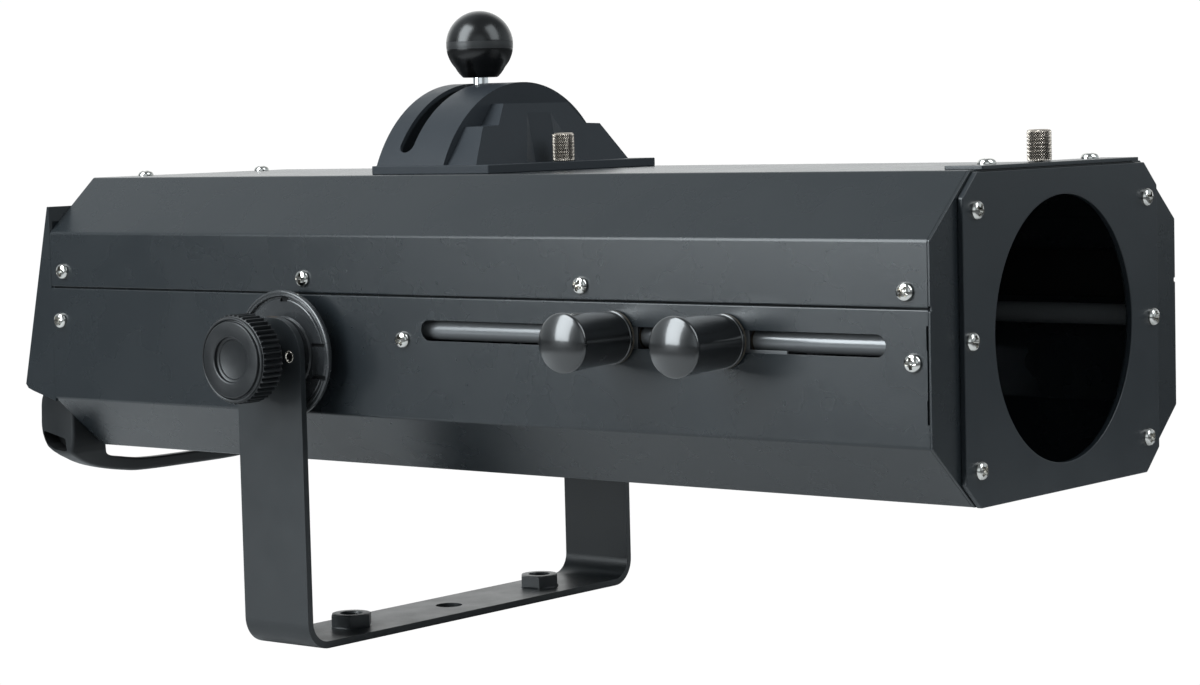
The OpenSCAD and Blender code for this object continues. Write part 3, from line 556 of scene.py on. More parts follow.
def make_shells():
    up = tmp_obj(shell_bm(True, XR, XF - 1.6), "upper")
    c1 = tmp_obj(bm_prism([(43, -62), (70, -62), (70, 62), (43, 62)], 150, 180, "z"))
    c2 = tmp_obj(bm_prism([(426, -72), (437, -72), (437, 72), (426, 72)], 150, 180, "z"))
    c3 = tmp_obj(bm_prism(circle_pts(218.8, -FT + 7.5, 2.0, 20), 160, 180, "z"))
    cut(up, [c1, c2, c3])
    bevel(up, 0.28, 2, 60)
    up.name = "upper_shell_skin"
    up.data.materials.clear(); up.data.materials.append(SHELL)
    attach(up, "head"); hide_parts("upper_shell")

    lw = tmp_obj(shell_bm(False, XR, XF - 1.6), "lower")
    slot_c = tmp_obj(bm_prism(slot_pts(111.8, 415.5, 81.525, 5.675), -130, -110, "y"))
    vents = [tmp_obj(bm_prism([(x, -55), (x + 5, -55), (x + 5, 55), (x, 55)], -3, 4, "z")) for x in range(-150, -65, 12)]
    gap_n = tmp_obj(bm_prism([(XF - 2.7, 44), (XF, 44), (XF, 92), (XF - 2.7, 92), (XF - 2.7, 80), (XF - 2.3, 80), (XF - 2.3, 56), (XF - 2.7, 56)], -130, 130, "y"))
    cut(lw, [slot_c, gap_n] + vents)
    bevel(lw, 0.28, 2, 60)
    lw.name = "lower_shell_skin"
    lw.data.materials.clear(); lw.data.materials.append(SHELL)
    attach(lw, "head"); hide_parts("lower_shell")
    # dark strips behind the upper shell at the seam: painted shade that fills the seam gap
    for s in (-1, 1):
        bm = bm_prism([(s * 120.15, 90), (s * 119.15, 90), (s * 119.15, 116), (s * 120.15, 116)], XR + 3, XF - 5, "x")
        obj_from("seam_shade_strip_" + ("near" if s < 0 else "far"), bm, INNER_BLACK_AND_SHADE, "head")


def octagon(t=0.0):
    y1, y2, z2 = section(t)
    return [(-y1, t), (y1, t), (y2, z2), (y2, H - z2), (y1, H - t), (-y1, H - t), (-y2, H - z2), (-y2, z2)]


FRONT_HOLES = [(84.8, 146.2), (90.5, 82.3), (84.3, 18.4)]


def make_front():
    base_oct = octagon(0.0)
    notch = lambda s_: [(s_ * HW, SEAM - s_ * 1.3), (s_ * (HW - 1.3), SEAM - s_ * 0.8), (s_ * (HW - 1.3), SEAM + s_ * 0.8), (s_ * HW, SEAM + s_ * 1.3)]
    out = fillet(base_oct[:3] + notch(1) + base_oct[3:7] + notch(-1) + base_oct[7:], [1.2] * 3 + [0.3] * 4 + [1.2] * 4 + [0.3] * 4 + [1.2], 4)
    # small steps in the rim beside the seam, as the folded edges leave them
    o = plate("front_bulkhead_plate", out, [circle_pts(0, 82.5, 70, 128)], XF - 1.6, XF, "x", SHELL, "head", edge=0.35,
              replaces="front_bulkhead")
    rim = []
    for tt in (1.0, 2.5):
        rim.append(fillet(octagon(tt), 2.0, 4))
    bm = bmesh.new()
    n = len(rim[0])
    A = [[bm.verts.new(V(x, p[0], p[1])) for p in r] for x in (XF - 14, XF - 1.7) for r in rim]
    for i in range(n):
        j = (i + 1) % n
        bm.faces.new((A[0][i], A[0][j], A[2][j], A[2][i]))
        bm.faces.new((A[1][i], A[1][j], A[3][j], A[3][i]))
        bm.faces.new((A[0][i], A[0][j], A[1][j], A[1][i]))
        bm.faces.new((A[2][i], A[2][j], A[3][j], A[3][i]))
    obj_from("front_bulkhead_rim", bm, INNER_BLACK_AND_SHADE, "head")
    outl = fillet([(-83.3, -0.4), (83.3, -0.4), (96.9, 11.9), (96.9, 152.4), (83.3, 164.7), (-83.3, 164.7), (-96.9, 152.4), (-96.9, 11.9)], 1.5, 4)
    plate("front_plate_skin", outl, [circle_pts(0, 82.5, 68.5, 160)], XF + 0.02, XF + 3.1, "x", FRONT, "head", edge=0.45,
          replaces="front_plate", seg=3)
    # top strip
    outl = fillet([(422.2, -77.7), (XF + 3.1, -77.7), (XF + 3.1, 77.7), (422.2, 77.7)], 1.0, 4)
    hole = fillet([(423.4, -76.2), (439.4, -76.2), (439.4, -74.7), (423.4, -74.7)], 0.4, 3)
    plate("front_strip_skin", outl, [hole, circle_pts(430.4, 0, 2.55, 24)], H + 0.02, H + 2.0, "z", FRONT, "head", edge=0.3,
          replaces="front_top_strip")
    bm = bm_prism([(427, -71), (430, -71), (430, 71), (427, 71)], H - 9, H + 0.1, "z")
    obj_from("front_strip_blade", bm, INNER_BLACK_AND_SHADE, "head")


# ---------------------------------------------------------------- screws
def pan_head():
    """Pan head with a cross recess; the recess walls carry the second material, a painted shade."""
    p = fillet([(0, 3.05), (2.4, 3.0), (4.1, 2.35), (4.8, 1.0), (4.8, 0.02), (2.45, 0.02), (2.45, -4.2), (0, -4.2)],
               [0, 2.5, 1.8, 0.9, 0, 0, 0, 0], 4, closed=False)
    o = tmp_obj(bm_lathe(p, 48), "screw")
    o.data.materials.append(NICKEL)
    o.data.materials.append(INNER_BLACK_AND_SHADE)
    cs = []
    for a in (0, math.pi / 2):
        bm = bmesh.new()
        vs = []
        for (hx, hy, z) in ((3.35, 1.0, 4.0), (3.0, 0.82, 2.0), (1.5, 0.55, 0.5)):
            vs.append([bm.verts.new(Vector((sx * hx / 1000, sy * hy / 1000, z / 1000))) for sx, sy in ((-1, -1), (1, -1), (1, 1), (-1, 1))])
        bm.faces.new(vs[0]); bm.faces.new(vs[2][::-1])
        for A, B in zip(vs, vs[1:]):
            for i in range(4):
                j = (i + 1) % 4
                bm.faces.new((A[i], A[j], B[j], B[i]))
        # the recess walls take the dark material: painted shade in the cross
        for f in bm.faces:
            f.material_index = 1
        bmesh.ops.rotate(bm, cent=(0, 0, 0), matrix=Matrix.Rotation(a, 3, "Z"), verts=bm.verts)
        c = tmp_obj(bm)
        c.data.materials.append(NICKEL)
        c.data.materials.append(INNER_BLACK_AND_SHADE)
        cs.append(c)
    cut(o, cs)
    o.data.materials.clear()
    return o


SIDE_UP = [(-179.9, 109.9), (22.9, 108.7), (225.5, 108.1), (427.3, 108.3)]
SIDE_LOW = [(-183.3, 80.0), (98.2, 76.0), (431.2, 73.9)]


def make_screws():
    src = pan_head()
    base = bmesh.new()
    base.from_mesh(src.data)
    me0 = src.data
    out = bmesh.new()
    spots = []
    k = 0
    for (x, z) in SIDE_UP + SIDE_LOW:
        spots.append((V(x, -HW, z), (0, -1, 0)))
        spots.append((V(x, HW, z), (0, 1, 0)))
    for s in (-1, 1):
        spots.append((V(-180.9, s * 50.6, H), (0, 0, 1)))
        spots.append((V(430.4, s * 51.1, H + 2), (0, 0, 1)))
        for (y, z) in FRONT_HOLES:
            spots.append((V(XF + 3.1, s * y, z), (1, 0, 0)))
    for i, (p, d) in enumerate(spots):
        b = bmesh.new()
        b.from_mesh(me0)
        a = (i * 37 + 11) % 90
        bmesh.ops.rotate(b, cent=(0, 0, 0), matrix=Matrix.Rotation(math.radians(a), 3, "Z"), verts=b.verts)
        place(b, p, d)
        me = bpy.data.meshes.new("s")
        b.to_mesh(me); b.free()
        out.from_mesh(me)
        bpy.data.meshes.remove(me)
    base.free()
    bpy.data.objects.remove(src)
    obj_from("pan_screw_set", out, [NICKEL, INNER_BLACK_AND_SHADE], "head", replaces="pan_screws", smooth=38)


def knurled(name, x, z, node, body):
    """Thumbscrew with a real diamond knurl cut into its rim."""
    seg, rows, h, r = 240, 72, 16.1, 6.35
    bm = bmesh.new()
    rings = []
    hs = [0.0, 0.35] + [0.7 + (h - 1.8) * i / rows for i in range(rows + 1)] + [h - 0.55, h - 0.1]
    for k, zz in enumerate(hs):
        ring = []
        for i in range(seg):
            a = 2 * math.pi * i / seg
            if 0.6 < zz < h - 1.0:
                u = a * 30 / (2 * math.pi)
                w = zz / 1.33
                d1 = abs(((u + w / 1.0) % 1.0) - 0.5) * 2
                d2 = abs(((u - w / 1.0) % 1.0) - 0.5) * 2
                rr = r - 0.08 * max(d1, d2) - 0.44 * max(0.0, max(d1, d2) - 0.22) / 0.78
            else:
                rr = r - 0.5 if k < 1 else (r - 0.25 if zz < 0.6 else r - (1.1 if k == len(hs) - 1 else 0.35))
            ring.append(bm.verts.new((rr / 1000 * math.cos(a), rr / 1000 * math.sin(a), zz / 1000)))
        rings.append(ring)
    for A, B in zip(rings, rings[1:]):
        for i in range(seg):
            j = (i + 1) % seg
            bm.faces.new((A[i], A[j], B[j], B[i]))
    # top with a shallow dish
    top = [rings[-1]]
    for rr, zz in ((4.6, h), (4.2, h - 0.35), (0.0, h - 0.45)):
        if rr == 0:
            c = bm.verts.new((0, 0, zz / 1000))
            A = top[-1]
            for i in range(seg):
                bm.faces.new((A[i], A[(i + 1) % seg], c))
        else:
            ring = [bm.verts.new((rr / 1000 * math.cos(2 * math.pi * i / seg), rr / 1000 * math.sin(2 * math.pi * i / seg), zz / 1000)) for i in range(seg)]
            A = top[-1]
            for i in range(seg):
                j = (i + 1) % seg
                bm.faces.new((A[i], A[j], ring[j], ring[i]))
            top.append(ring)
    bm.faces.new(rings[0][::-1])
    sh = bm_lathe([(0, 0.05), (2.45, 0.05), (2.45, -11.2), (1.9, -11.9), (0, -11.9)], 32)
    full = join_bm([bm, sh])
    # groove faces and the shank take the dark metal: painted shade between the knurl's ridges
    for f in full.faces:
        c = f.calc_center_median() * 1000
        rr = c.xy.length
        f.material_index = 1 if (0.7 < c.z < h - 1.2 and 5.0 < rr < r - 0.27) or c.z < 0 else 0
    place(full, V(x, 0, z + 0.3), (0, 0, 1))
    obj_from(name, full, [KNURL, KNURL_PAINTED_SHADE], body, replaces=node, smooth=30)


# ---------------------------------------------------------------- iris housing
LX, LZ, DR, PZ = 53.8, 138.0, 78.7, 170.5


def make_dome():
    def arc_bm(x0, x1, r, zmin, n=160):
        a0 = math.acos((zmin - LZ) / r)
        pts = [(r * math.sin(-a0 + 2 * a0 * i / n), LZ + r * math.cos(-a0 + 2 * a0 * i / n)) for i in range(n + 1)]
        return bm_prism(pts, x0, x1, "x")

    def slot_cutter(r0, r1, x0, x1, ang, n=72):
        """Arc-shaped slot with round ends."""
        bm = bmesh.new()
        hw = (x1 - x0) / 2
        xc = (x0 + x1) / 2
        outline = []
        for i in range(n + 1):
            outline.append((x1, -ang + 2 * ang * i / n))
        m = 12
        da = hw / r1
        for i in range(1, m):
            t = math.pi * i / m
            outline.append((xc + hw * math.cos(t), ang + da * math.sin(t)))
        for i in range(n + 1):
            outline.append((x0, ang - 2 * ang * i / n))
        for i in range(1, m):
            t = math.pi * i / m
            outline.append((xc - hw * math.cos(t), -ang - da * math.sin(t)))
        rings = []
        for r in (r0, r1):
            rings.append([bm.verts.new(V(x, r * math.sin(a), LZ + r * math.cos(a))) for x, a in outline])
        N = len(outline)
        for i in range(N):
            j = (i + 1) % N
            bm.faces.new((rings[0][i], rings[0][j], rings[1][j], rings[1][i]))
        for R in rings:
            # strips across the width
            k = n + 1
            left = R[:k]
            right = R[k + m - 1:k + m - 1 + k][::-1]
            for i in range(k - 1):
                bm.faces.new((left[i], left[i + 1], right[i + 1], right[i]))
            bm.faces.new([left[-1]] + R[k:k + m - 1] + [right[-1]])
            bm.faces.new([right[0]] + R[k + m - 1 + k:] + [left[0]])
        return bm
    arc = tmp_obj(arc_bm(35.4, 86.6, DR, PZ - 0.6), "arc")
    hollow = tmp_obj(arc_bm(38.0, 84.0, DR - 2.5, PZ - 3.0))
    cut(arc, [hollow])
    cut(arc, [tmp_obj(slot_cutter(DR - 6, DR + 3, LX - 5.1, LX + 5.1, math.radians(56.0)))])
    bevel(arc, 0.8, 3, 35, 42)
    arc.name = "iris_arch"
    arc.data.materials.clear(); arc.data.materials.append(DOME)
    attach(arc, "head"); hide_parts("dome_housing")

    # stepped nose: one outline across, sloped at the front
    prof_h = [(-69.0, PZ - 0.5), (-52.6, 191.7), (-38.8, 192.2), (-28.6, 204.4), (28.6, 204.4), (38.8, 192.2), (52.6, 191.7), (69.0, PZ - 0.5)]
    nose = tmp_obj(bm_prism(prof_h, 80.0, 112.0, "x"), "nose")
    wedge = tmp_obj(bm_prism([(109.25, PZ - 2), (95.6, 204.4), (93.2, 210.5), (120, 215), (120, PZ - 2)], -90, 90, "y"))
    back = tmp_obj(bm_prism([(78, 160), (78, 215), (84.5, 215), (84.5, 160)], -90, 90, "y"))
    cut(nose, [wedge, back])
    # thumb pocket
    bm = bmesh.new()
    q = [(97.6, -10.4, 199.3), (97.6, 10.4, 199.3), (103.2, -10.4, PZ - 0.2), (103.2, 10.4, PZ - 0.2),
         (113.5, -37.5, PZ - 0.2), (113.5, 37.5, PZ - 0.2), (113.5, -52, 199.3), (113.5, 52, 199.3)]
    v = [bm.verts.new(V(*p)) for p in q]
    for f in ((0, 1, 3, 2), (2, 3, 5, 4), (0, 6, 7, 1), (6, 4, 5, 7), (0, 2, 4, 6), (1, 7, 5, 3)):
        bm.faces.new([v[i] for i in f])
    pk = tmp_obj(bm)
    cut(nose, [pk])
    for f in nose.data.polygons:
        f.use_smooth = False
    nose.name = "iris_nose"
    nose.data.materials.clear(); nose.data.materials.append(DOME)
    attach(nose, "head")

    outl = fillet([(34.8, -75.6), (123.7, -75.6), (123.7, 75.6), (34.8, 75.6)], 1.2, 4)
    plate("iris_base_plate", outl, [fillet([(38.5, -70), (83.5, -70), (83.5, 70), (38.5, 70)], 1, 3), circle_pts(115.5, 0, 2.6, 24)],
          H + 0.02, PZ, "z", DOME, "head", edge=0.5, seg=3)


def make_lever():
    # ball with a matt band round its middle and a flat underside
    R = 19.7
    pr = [(0.0, R)]
    n = 64
    a_end = math.acos(-13.2 / R)
    for i in range(1, n + 1):
        a = a_end * i / n
        pr.append((R * math.sin(a), R * math.cos(a)))
    pr += [(13.6, -15.0), (12.3, -16.8), (11.0, -18.2), (10.4, -18.8), (9.7, -19.1), (4.9, -19.15), (4.8, -17), (0, -17)]
    bm = bm_lathe(pr, 128)
    for f in bm.faces:
        c = f.calc_center_median() * 1000
        f.material_index = 1 if (-2.5 < c.z < 1.5 and c.xy.length > 15) else 0
    # a hair of relief where the band meets the gloss
    for vv in bm.verts:
        h = vv.co.z * 1000
        r = vv.co.xy.length * 1000
        if r > 15 and -2.6 < h < 1.6:
            k = (r - 0.10) / r
            vv.co.x *= k
            vv.co.y *= k
    place(bm, V(LX, 0, 239.3), (0, 0, 1))
    obj_from("iris_ball_skin", bm, [GLOSS, BAND], "lever", replaces="iris_ball", smooth=60)
    # stem with a shoulder, and the flat arm below the cover
    st = bm_lathe(prof([(0, 84), (4.5, 84), (4.7, 83.2), (4.7, 62.5), (4.3, 62), (0, 62)], 0.3, 3), 48)
    place(st, V(LX, 0, LZ), (0, 0, 1))
    arm = bm_prism(fillet([(-5.5, LZ + 68), (5.5, LZ + 68), (5.5, LZ + 4), (4, LZ - 2), (4, LZ - 14), (-4, LZ - 14), (-4, LZ - 2), (-5.5, LZ + 4)], 1.0, 3), LX - 1.5, LX + 1.5, "x")
    hub = bm_lathe(prof([(3.05, -2.9), (8, -2.9), (8, 2.1), (3.05, 2.1)], 0.4, 3), 48)
    place(hub, V(LX, 0, LZ), (1, 0, 0))
    pin = bm_lathe(prof([(0, 5.3), (2.5, 5.3), (2.5, 1.2), (0, 1.2)], 0.4, 3), 24)
    place(pin, V(LX, 0, LZ - 12), (1, 0, 0))
    obj_from("iris_lever_set", join_bm([st, arm, hub, pin]), CHROME, "lever", replaces="iris_lever", smooth=35)


# ---------------------------------------------------------------- yoke
def make_yoke():
    AY, AZ, T_, RB = 145.9, 166.0, 4.0, 16.0
    W2 = 25.0
    top = AZ + 21.5
    # centre line of the bar in (y, z), with the two bends
    rm = RB - T_ / 2
    ym = AY - T_ / 2
    path = []
    nst = 40
    for i in range(nst + 1):
        path.append((-ym, top - (top - RB) * i / nst, (-1, 0)))
    for i in range(1, 13):
        a = math.pi + (math.pi / 2) * i / 12
        path.append((-AY + RB + rm * math.cos(a), RB + rm * math.sin(a), (math.cos(a), math.sin(a))))
    for i in range(1, 30):
        t = i / 30
        path.append((-AY + RB + 2 * (AY - RB) * t, T_ / 2, (0, -1)))
    for i in range(0, 12):
        a = 1.5 * math.pi + (math.pi / 2) * i / 12
        path.append((AY - RB + rm * math.cos(a), RB + rm * math.sin(a), (math.cos(a), math.sin(a))))
    for i in range(nst + 1):
        path.append((ym, RB + (top - RB) * i / nst, (1, 0)))
    def half(z):
        d = top - z
        if d >= 20:
            return W2
        return W2 - 20 + math.sqrt(max(0.0, 400 - (20 - d) ** 2))
    # finer rows where the ends round over
    fine = []
    for k in range(len(path)):
        fine.append(path[k])
    ext = []
    for (y, z, n) in [(-ym, top - 20 * (1 - math.cos(t * math.pi / 2 / 14)), (-1, 0)) for t in range(0, 15)]:
        ext.append((y, z, n))
    low = [p for p in path if not (abs(p[0]) > ym - 1e-6 and p[1] > top - 20.01)]
    path = ext + low + [(-p[0], p[1], (1, 0)) for p in reversed(ext)]
    bm = bmesh.new()
    rows = []
    for (y, z, n) in path:
        h = half(z) if abs(abs(y) - ym) < 1e-6 and z > top - 20 else W2
        o_ = (y + n[0] * T_ / 2, z + n[1] * T_ / 2)
        i_ = (y - n[0] * T_ / 2, z - n[1] * T_ / 2)
        rows.append([bm.verts.new((s * h / 1000, q[0] / 1000, q[1] / 1000)) for q, s in ((o_, -1), (o_, 1), (i_, 1), (i_, -1))])
    for A, B in zip(rows, rows[1:]):
        for i in range(4):
            j = (i + 1) % 4
            bm.faces.new((A[i], A[j], B[j], B[i]))
    bm.faces.new(rows[0][::-1])
    bm.faces.new(rows[-1])
    o = tmp_obj(bm, "yoke")

    def zc(y, r):
        return tmp_obj(bm_prism(circle_pts(0, y, r, 64), -5, 10, "z", world=True))

    def yc(x, z, r):
        return tmp_obj(bm_prism(circle_pts(x, z, r, 48), -160, 160, "y", world=True))
    cut(o, [zc(0, 8.0), zc(85, 6.2), zc(-85, 6.2)])
    cut(o, [yc(0, AZ, 8.05), yc(16.6, AZ, 2.5), yc(-16.6, AZ, 2.5)])
    bevel(o, 0.85, 4, 50, 40)
    o.name = "yoke_bar"
    o.data.materials.clear(); o.data.materials.append(YOKE)
    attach(o, "yoke"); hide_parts("yoke_strap")

    # heavy hexagon nuts, painted with the bar: chamfered top, countersunk thread
    parts = []
    for s in (-1, 1):
        hexa = bmesh.new()
        vs = [[hexa.verts.new((12.7 / 1000 * math.cos(math.pi / 3 * i + math.radians(9)), 12.7 / 1000 * math.sin(math.pi / 3 * i + math.radians(9)), zz / 1000)) for i in range(6)] for zz in (4.0, 11.6)]
        for i in range(6):
            j = (i + 1) % 6
            hexa.faces.new((vs[0][i], vs[0][j], vs[1][j], vs[1][i]))
        hexa.faces.new(vs[1]); hexa.faces.new(vs[0][::-1])
        oo = tmp_obj(hexa, "nut")
        cap = tmp_obj(bm_lathe([(0, 3.5), (12.95, 3.5), (12.95, 10.3), (12.4, 10.9), (11.0, 11.6), (0, 11.6)], 72))
        cut(oo, [cap], "INTERSECT")
        oo.data.materials.append(YOKE); oo.data.materials.append(INNER_BLACK_AND_SHADE)
        # the bore walls take the dark material: painted shade inside the hole
        cb = bm_lathe([(0, 2.0), (6.0, 2.0), (6.0, 10.2), (6.9, 11.7), (6.9, 13), (0, 13)], 48)
        for f in cb.faces:
            f.material_index = 1 if f.calc_center_median().z < 0.0101 else 0
        cb = tmp_obj(cb)
        cb.data.materials.append(YOKE); cb.data.materials.append(INNER_BLACK_AND_SHADE)
        cut(oo, [cb])
        b2 = bmesh.new(); b2.from_mesh(oo.data); bpy.data.objects.remove(oo)
        bmesh.ops.translate(b2, vec=(0, s * 0.085, 0), verts=b2.verts)
        parts.append(b2)
        thr = []
        zz = 10.4
        k = 0
        while zz > 4.1:
            thr.append((5.2 if k % 2 == 0 else 5.95, zz))
            zz -= 0.6
            k += 1
        # the thread is all in the dark material, painted shade in the bore
        t = bm_lathe(thr, 48)
        for f in t.faces:
            f.material_index = 1
        place(t, (0, s * 0.085, 0), (0, 0, 1))
        parts.append(t)
        # a low fillet of weld round the foot
        wf = bm_lathe([(12.4, 4.0), (12.0, 4.55), (11.0, 5.0), (10.4, 5.0)], 72, lambda r, h, a: r * (1.0 - 0.055 * (0.5 + 0.5 * math.cos(6 * (a - math.radians(9)) + math.pi))))
        place(wf, (0, s * 0.085, 0), (0, 0, 1))
        parts.append(wf)
    obj_from("weld_nut_set", join_bm(parts), [YOKE, INNER_BLACK_AND_SHADE], "yoke", replaces="yoke_weld_nuts", smooth=28)
    parts = []
    for s in (-1, 1):
        for sx in (-1, 1):
            rv = bm_lathe(prof([(2.0, -5.2), (2.0, 0.0), (2.35, 0.42), (2.85, 0.5), (3.3, 0.28), (3.4, 0.02), (2.5, 0.02), (2.5, -5.2)], 0.15, 3), 40)
            # bore walls and underside take the dark material: painted shade in the hollow rivet
            for f in rv.faces:
                c = f.calc_center_median()
                f.material_index = 1 if c.xy.length < 0.00205 or c.z < -0.0002 else 0
            for q in [(0, -1.2), (1.98, -1.2)]:
                pass
            # a dark disc deep in the bore: painted shade
            plug = bm_lathe([(0, -1.6), (1.2, -1.5), (1.98, -1.1)], 24)
            for f in plug.faces:
                f.material_index = 1
            place(plug, (sx * 0.0166, s * AY / 1000, AZ / 1000), (0, s, 0))
            parts.append(plug)
            place(rv, (sx * 0.0166, s * AY / 1000, AZ / 1000), (0, s, 0))
            parts.append(rv)
    obj_from("yoke_rivet_set", join_bm(parts), [RIVET, INNER_BLACK_AND_SHADE], "yoke", replaces="yoke_rivets", smooth=40)
    set_mat("yoke_friction_washers", FRICTION)


# ---------------------------------------------------------------- tilt locks
def make_locks():
    for s, node, nm in ((-1, "near_lock_knob", "near"), (1, "far_lock_knob", "far")):
        # h runs inward from the face: dished recess with a step, flat face, bead, groove, plain rim, then the teeth
        p = [(0, 3.7), (4, 3.6), (8, 3.3), (10.7, 2.85), (11.0, 2.5), (11.2, 2.2), (12.2, 2.1), (12.55, 1.85), (12.7, 0.6), (12.85, 0.28), (13.2, 0.06), (13.7, 0.0),
             (20.5, 0.0), (20.9, 0.06), (21.2, 0.3), (21.35, 0.9), (21.5, 1.5), (21.85, 1.65), (22.15, 1.4), (22.4, 1.0), (22.8, 0.82), (23.25, 0.9), (23.55, 1.25), (23.65, 2.1), (24.2, 2.2)]
        rows = [(24.35, 2.3), (24.7, 2.55), (25.0, 3.1)] + [(25.0, 3.4 + 12.2 * i / 8) for i in range(9)] + [(25.0, 15.9), (24.8, 16.3), (24.5, 16.6)]
        p += rows + [(23.4, 16.9), (14.2, 17.6), (12.7, 18.4), (12.3, 19.6), (12.3, 28.6), (12.0, 29.0), (7.9, 29.0), (7.9, 27)]

        def mod(r, h, a, R=46):
            if r > 24.32 and 2.25 < h < 16.7:
                u = (a * R / (2 * math.pi) + 0.25) % 1.0
                d = abs(u - 0.5) * 2
                return r - (r - 22.9) * min(1.0, max(0.0, (d - 0.20) / 0.62))
            return r
        bm = bm_lathe(p, 46 * 12, mod)
        place(bm, (0, s * 0.1753, 0.166), (0, -s, 0))
        obj_from("lock_knob_" + nm, bm, KNOB, nm + "_lock", replaces=node, smooth=30)
    set_mat("near_knob_insert", BRASS)
    set_mat("far_knob_insert", BRASS)
    parts = []
    for s in (-1, 1):
        # h runs inward from the outer face; a thin flange on a smaller hub
        p = [(8.05, -5.4), (15.7, -5.4), (16.2, -4.9), (16.2, 0.6), (21.0, 0.7), (21.4, 1.7), (30.9, 1.0), (31.4, 1.35), (31.6, 2.1), (32.5, 2.1), (32.75, 1.6), (32.85, 0.4), (33.2, 0.0),
             (33.9, 0.0), (34.15, 0.45), (34.6, 0.5), (34.8, 0.1), (35.2, 0.0), (35.9, 0.2), (36.3, 0.8), (36.3, 2.6), (35.8, 3.3), (24.5, 3.8), (23.5, 4.8), (23.5, 12.85), (8.05, 12.85)]
        p = fillet(p, [0] + [0.22] * (len(p) - 2) + [0], 3, closed=False)
        o = tmp_obj(bm_lathe(p, 192), "disc")
        o.data.materials.append(DISC); o.data.materials.append(INNER_BLACK_AND_SHADE)
        up = -1 if s < 0 else 1   # local y points down on the near disc and up on the far one
        cs = []

        def box_cut(x0, x1, z0, z1, h1, slope=0.0, painted_shade_walls=False):
            b = bmesh.new()
            ya, yb = sorted((up * z0, up * z1))
            q = []
            for h in (-1.0, h1):
                # the lower edge of each groove leans outward, so it catches light
                lo_ = slope * (h1 - h) / (h1 + 1.0)
                za, zb = z0 - lo_, z1
                y0, y1 = up * za, up * zb
                q.append([b.verts.new((x / 1000, y / 1000, h / 1000)) for x, y in ((x0, y0), (x1, y0), (x1, y1), (x0, y1))])
            b.faces.new(q[0]); b.faces.new(q[1][::-1])
            for i in range(4):
                j = (i + 1) % 4
                b.faces.new((q[0][i], q[0][j], q[1][j], q[1][i]))
            # all but the lower wall take the dark material: painted shade in the groove
            if painted_shade_walls:
                for k, f in enumerate(b.faces):
                    f.material_index = 0 if k == 2 else 1
            c = tmp_obj(b)
            c.data.materials.append(DISC); c.data.materials.append(INNER_BLACK_AND_SHADE)
            return c
        cs.append(box_cut(22.3, 32.2, -11.4, 5.1, 2.0))
        # divider grooves and the top notch: walls painted dark as shade
        for z in (5.9, -12.2):
            cs.append(box_cut(21.8, 33.5, z - 0.95, z + 0.95, 2.5, 0.9, True))
        cs.append(box_cut(-0.8, 4.6, 30.0, 33.0, 2.3, 0.6, True))
        cut(o, cs)
        bevel(o, 0.15, 2, 40, 32)
        bm = bmesh.new(); bm.from_mesh(o.data); bpy.data.objects.remove(o)
        place(bm, (0, s * 0.1349, 0.166), (0, -s, 0), (1, 0, 0))
        parts.append(bm)
    obj_from("clutch_disc_set", join_bm(parts), [DISC, INNER_BLACK_AND_SHADE], "head", replaces="clutch_discs", smooth=32)
    set_mat("pivot_studs", ZINC)


# ---------------------------------------------------------------- slider knobs
def make_sliders():
    for x, node, body, nm in ((247.4, "rear_slider_knob", "rear_slider", "slider_knob_rear"), (318.9, "front_slider_knob", "front_slider", "slider_knob_front")):
        # domed face, crisp rim, drafted barrel, thin foot flange
        dome = []
        for k in range(0, 15):
            r = 14.9 * k / 14
            dome.append((r, 0.02 + 3.9 * (r / 14.9) ** 2.1))
        p = dome + [(15.25, 4.35), (15.5, 4.85), (15.6, 5.5), (15.5, 6.3), (15.3, 6.9), (13.45, 43.3), (13.55, 43.6), (14.0, 43.9), (14.0, 45.2), (13.7, 45.5)]
        bm = bm_lathe(p + [(4.05, 45.5), (4.05, 44)], 144)
        wsh = bm_lathe([(4.2, 45.5), (13.9, 45.5), (14.0, 45.6), (14.0, 46.5), (13.9, 46.6), (4.2, 46.6)], 96)
        for f in wsh.faces:
            f.material_index = 1
        full = join_bm([bm, wsh])
        place(full, V(x, -169.7, 81.5), (0, 1, 0))
        obj_from(nm, full, [SLIDER, WASHER], body, replaces=node, smooth=30)


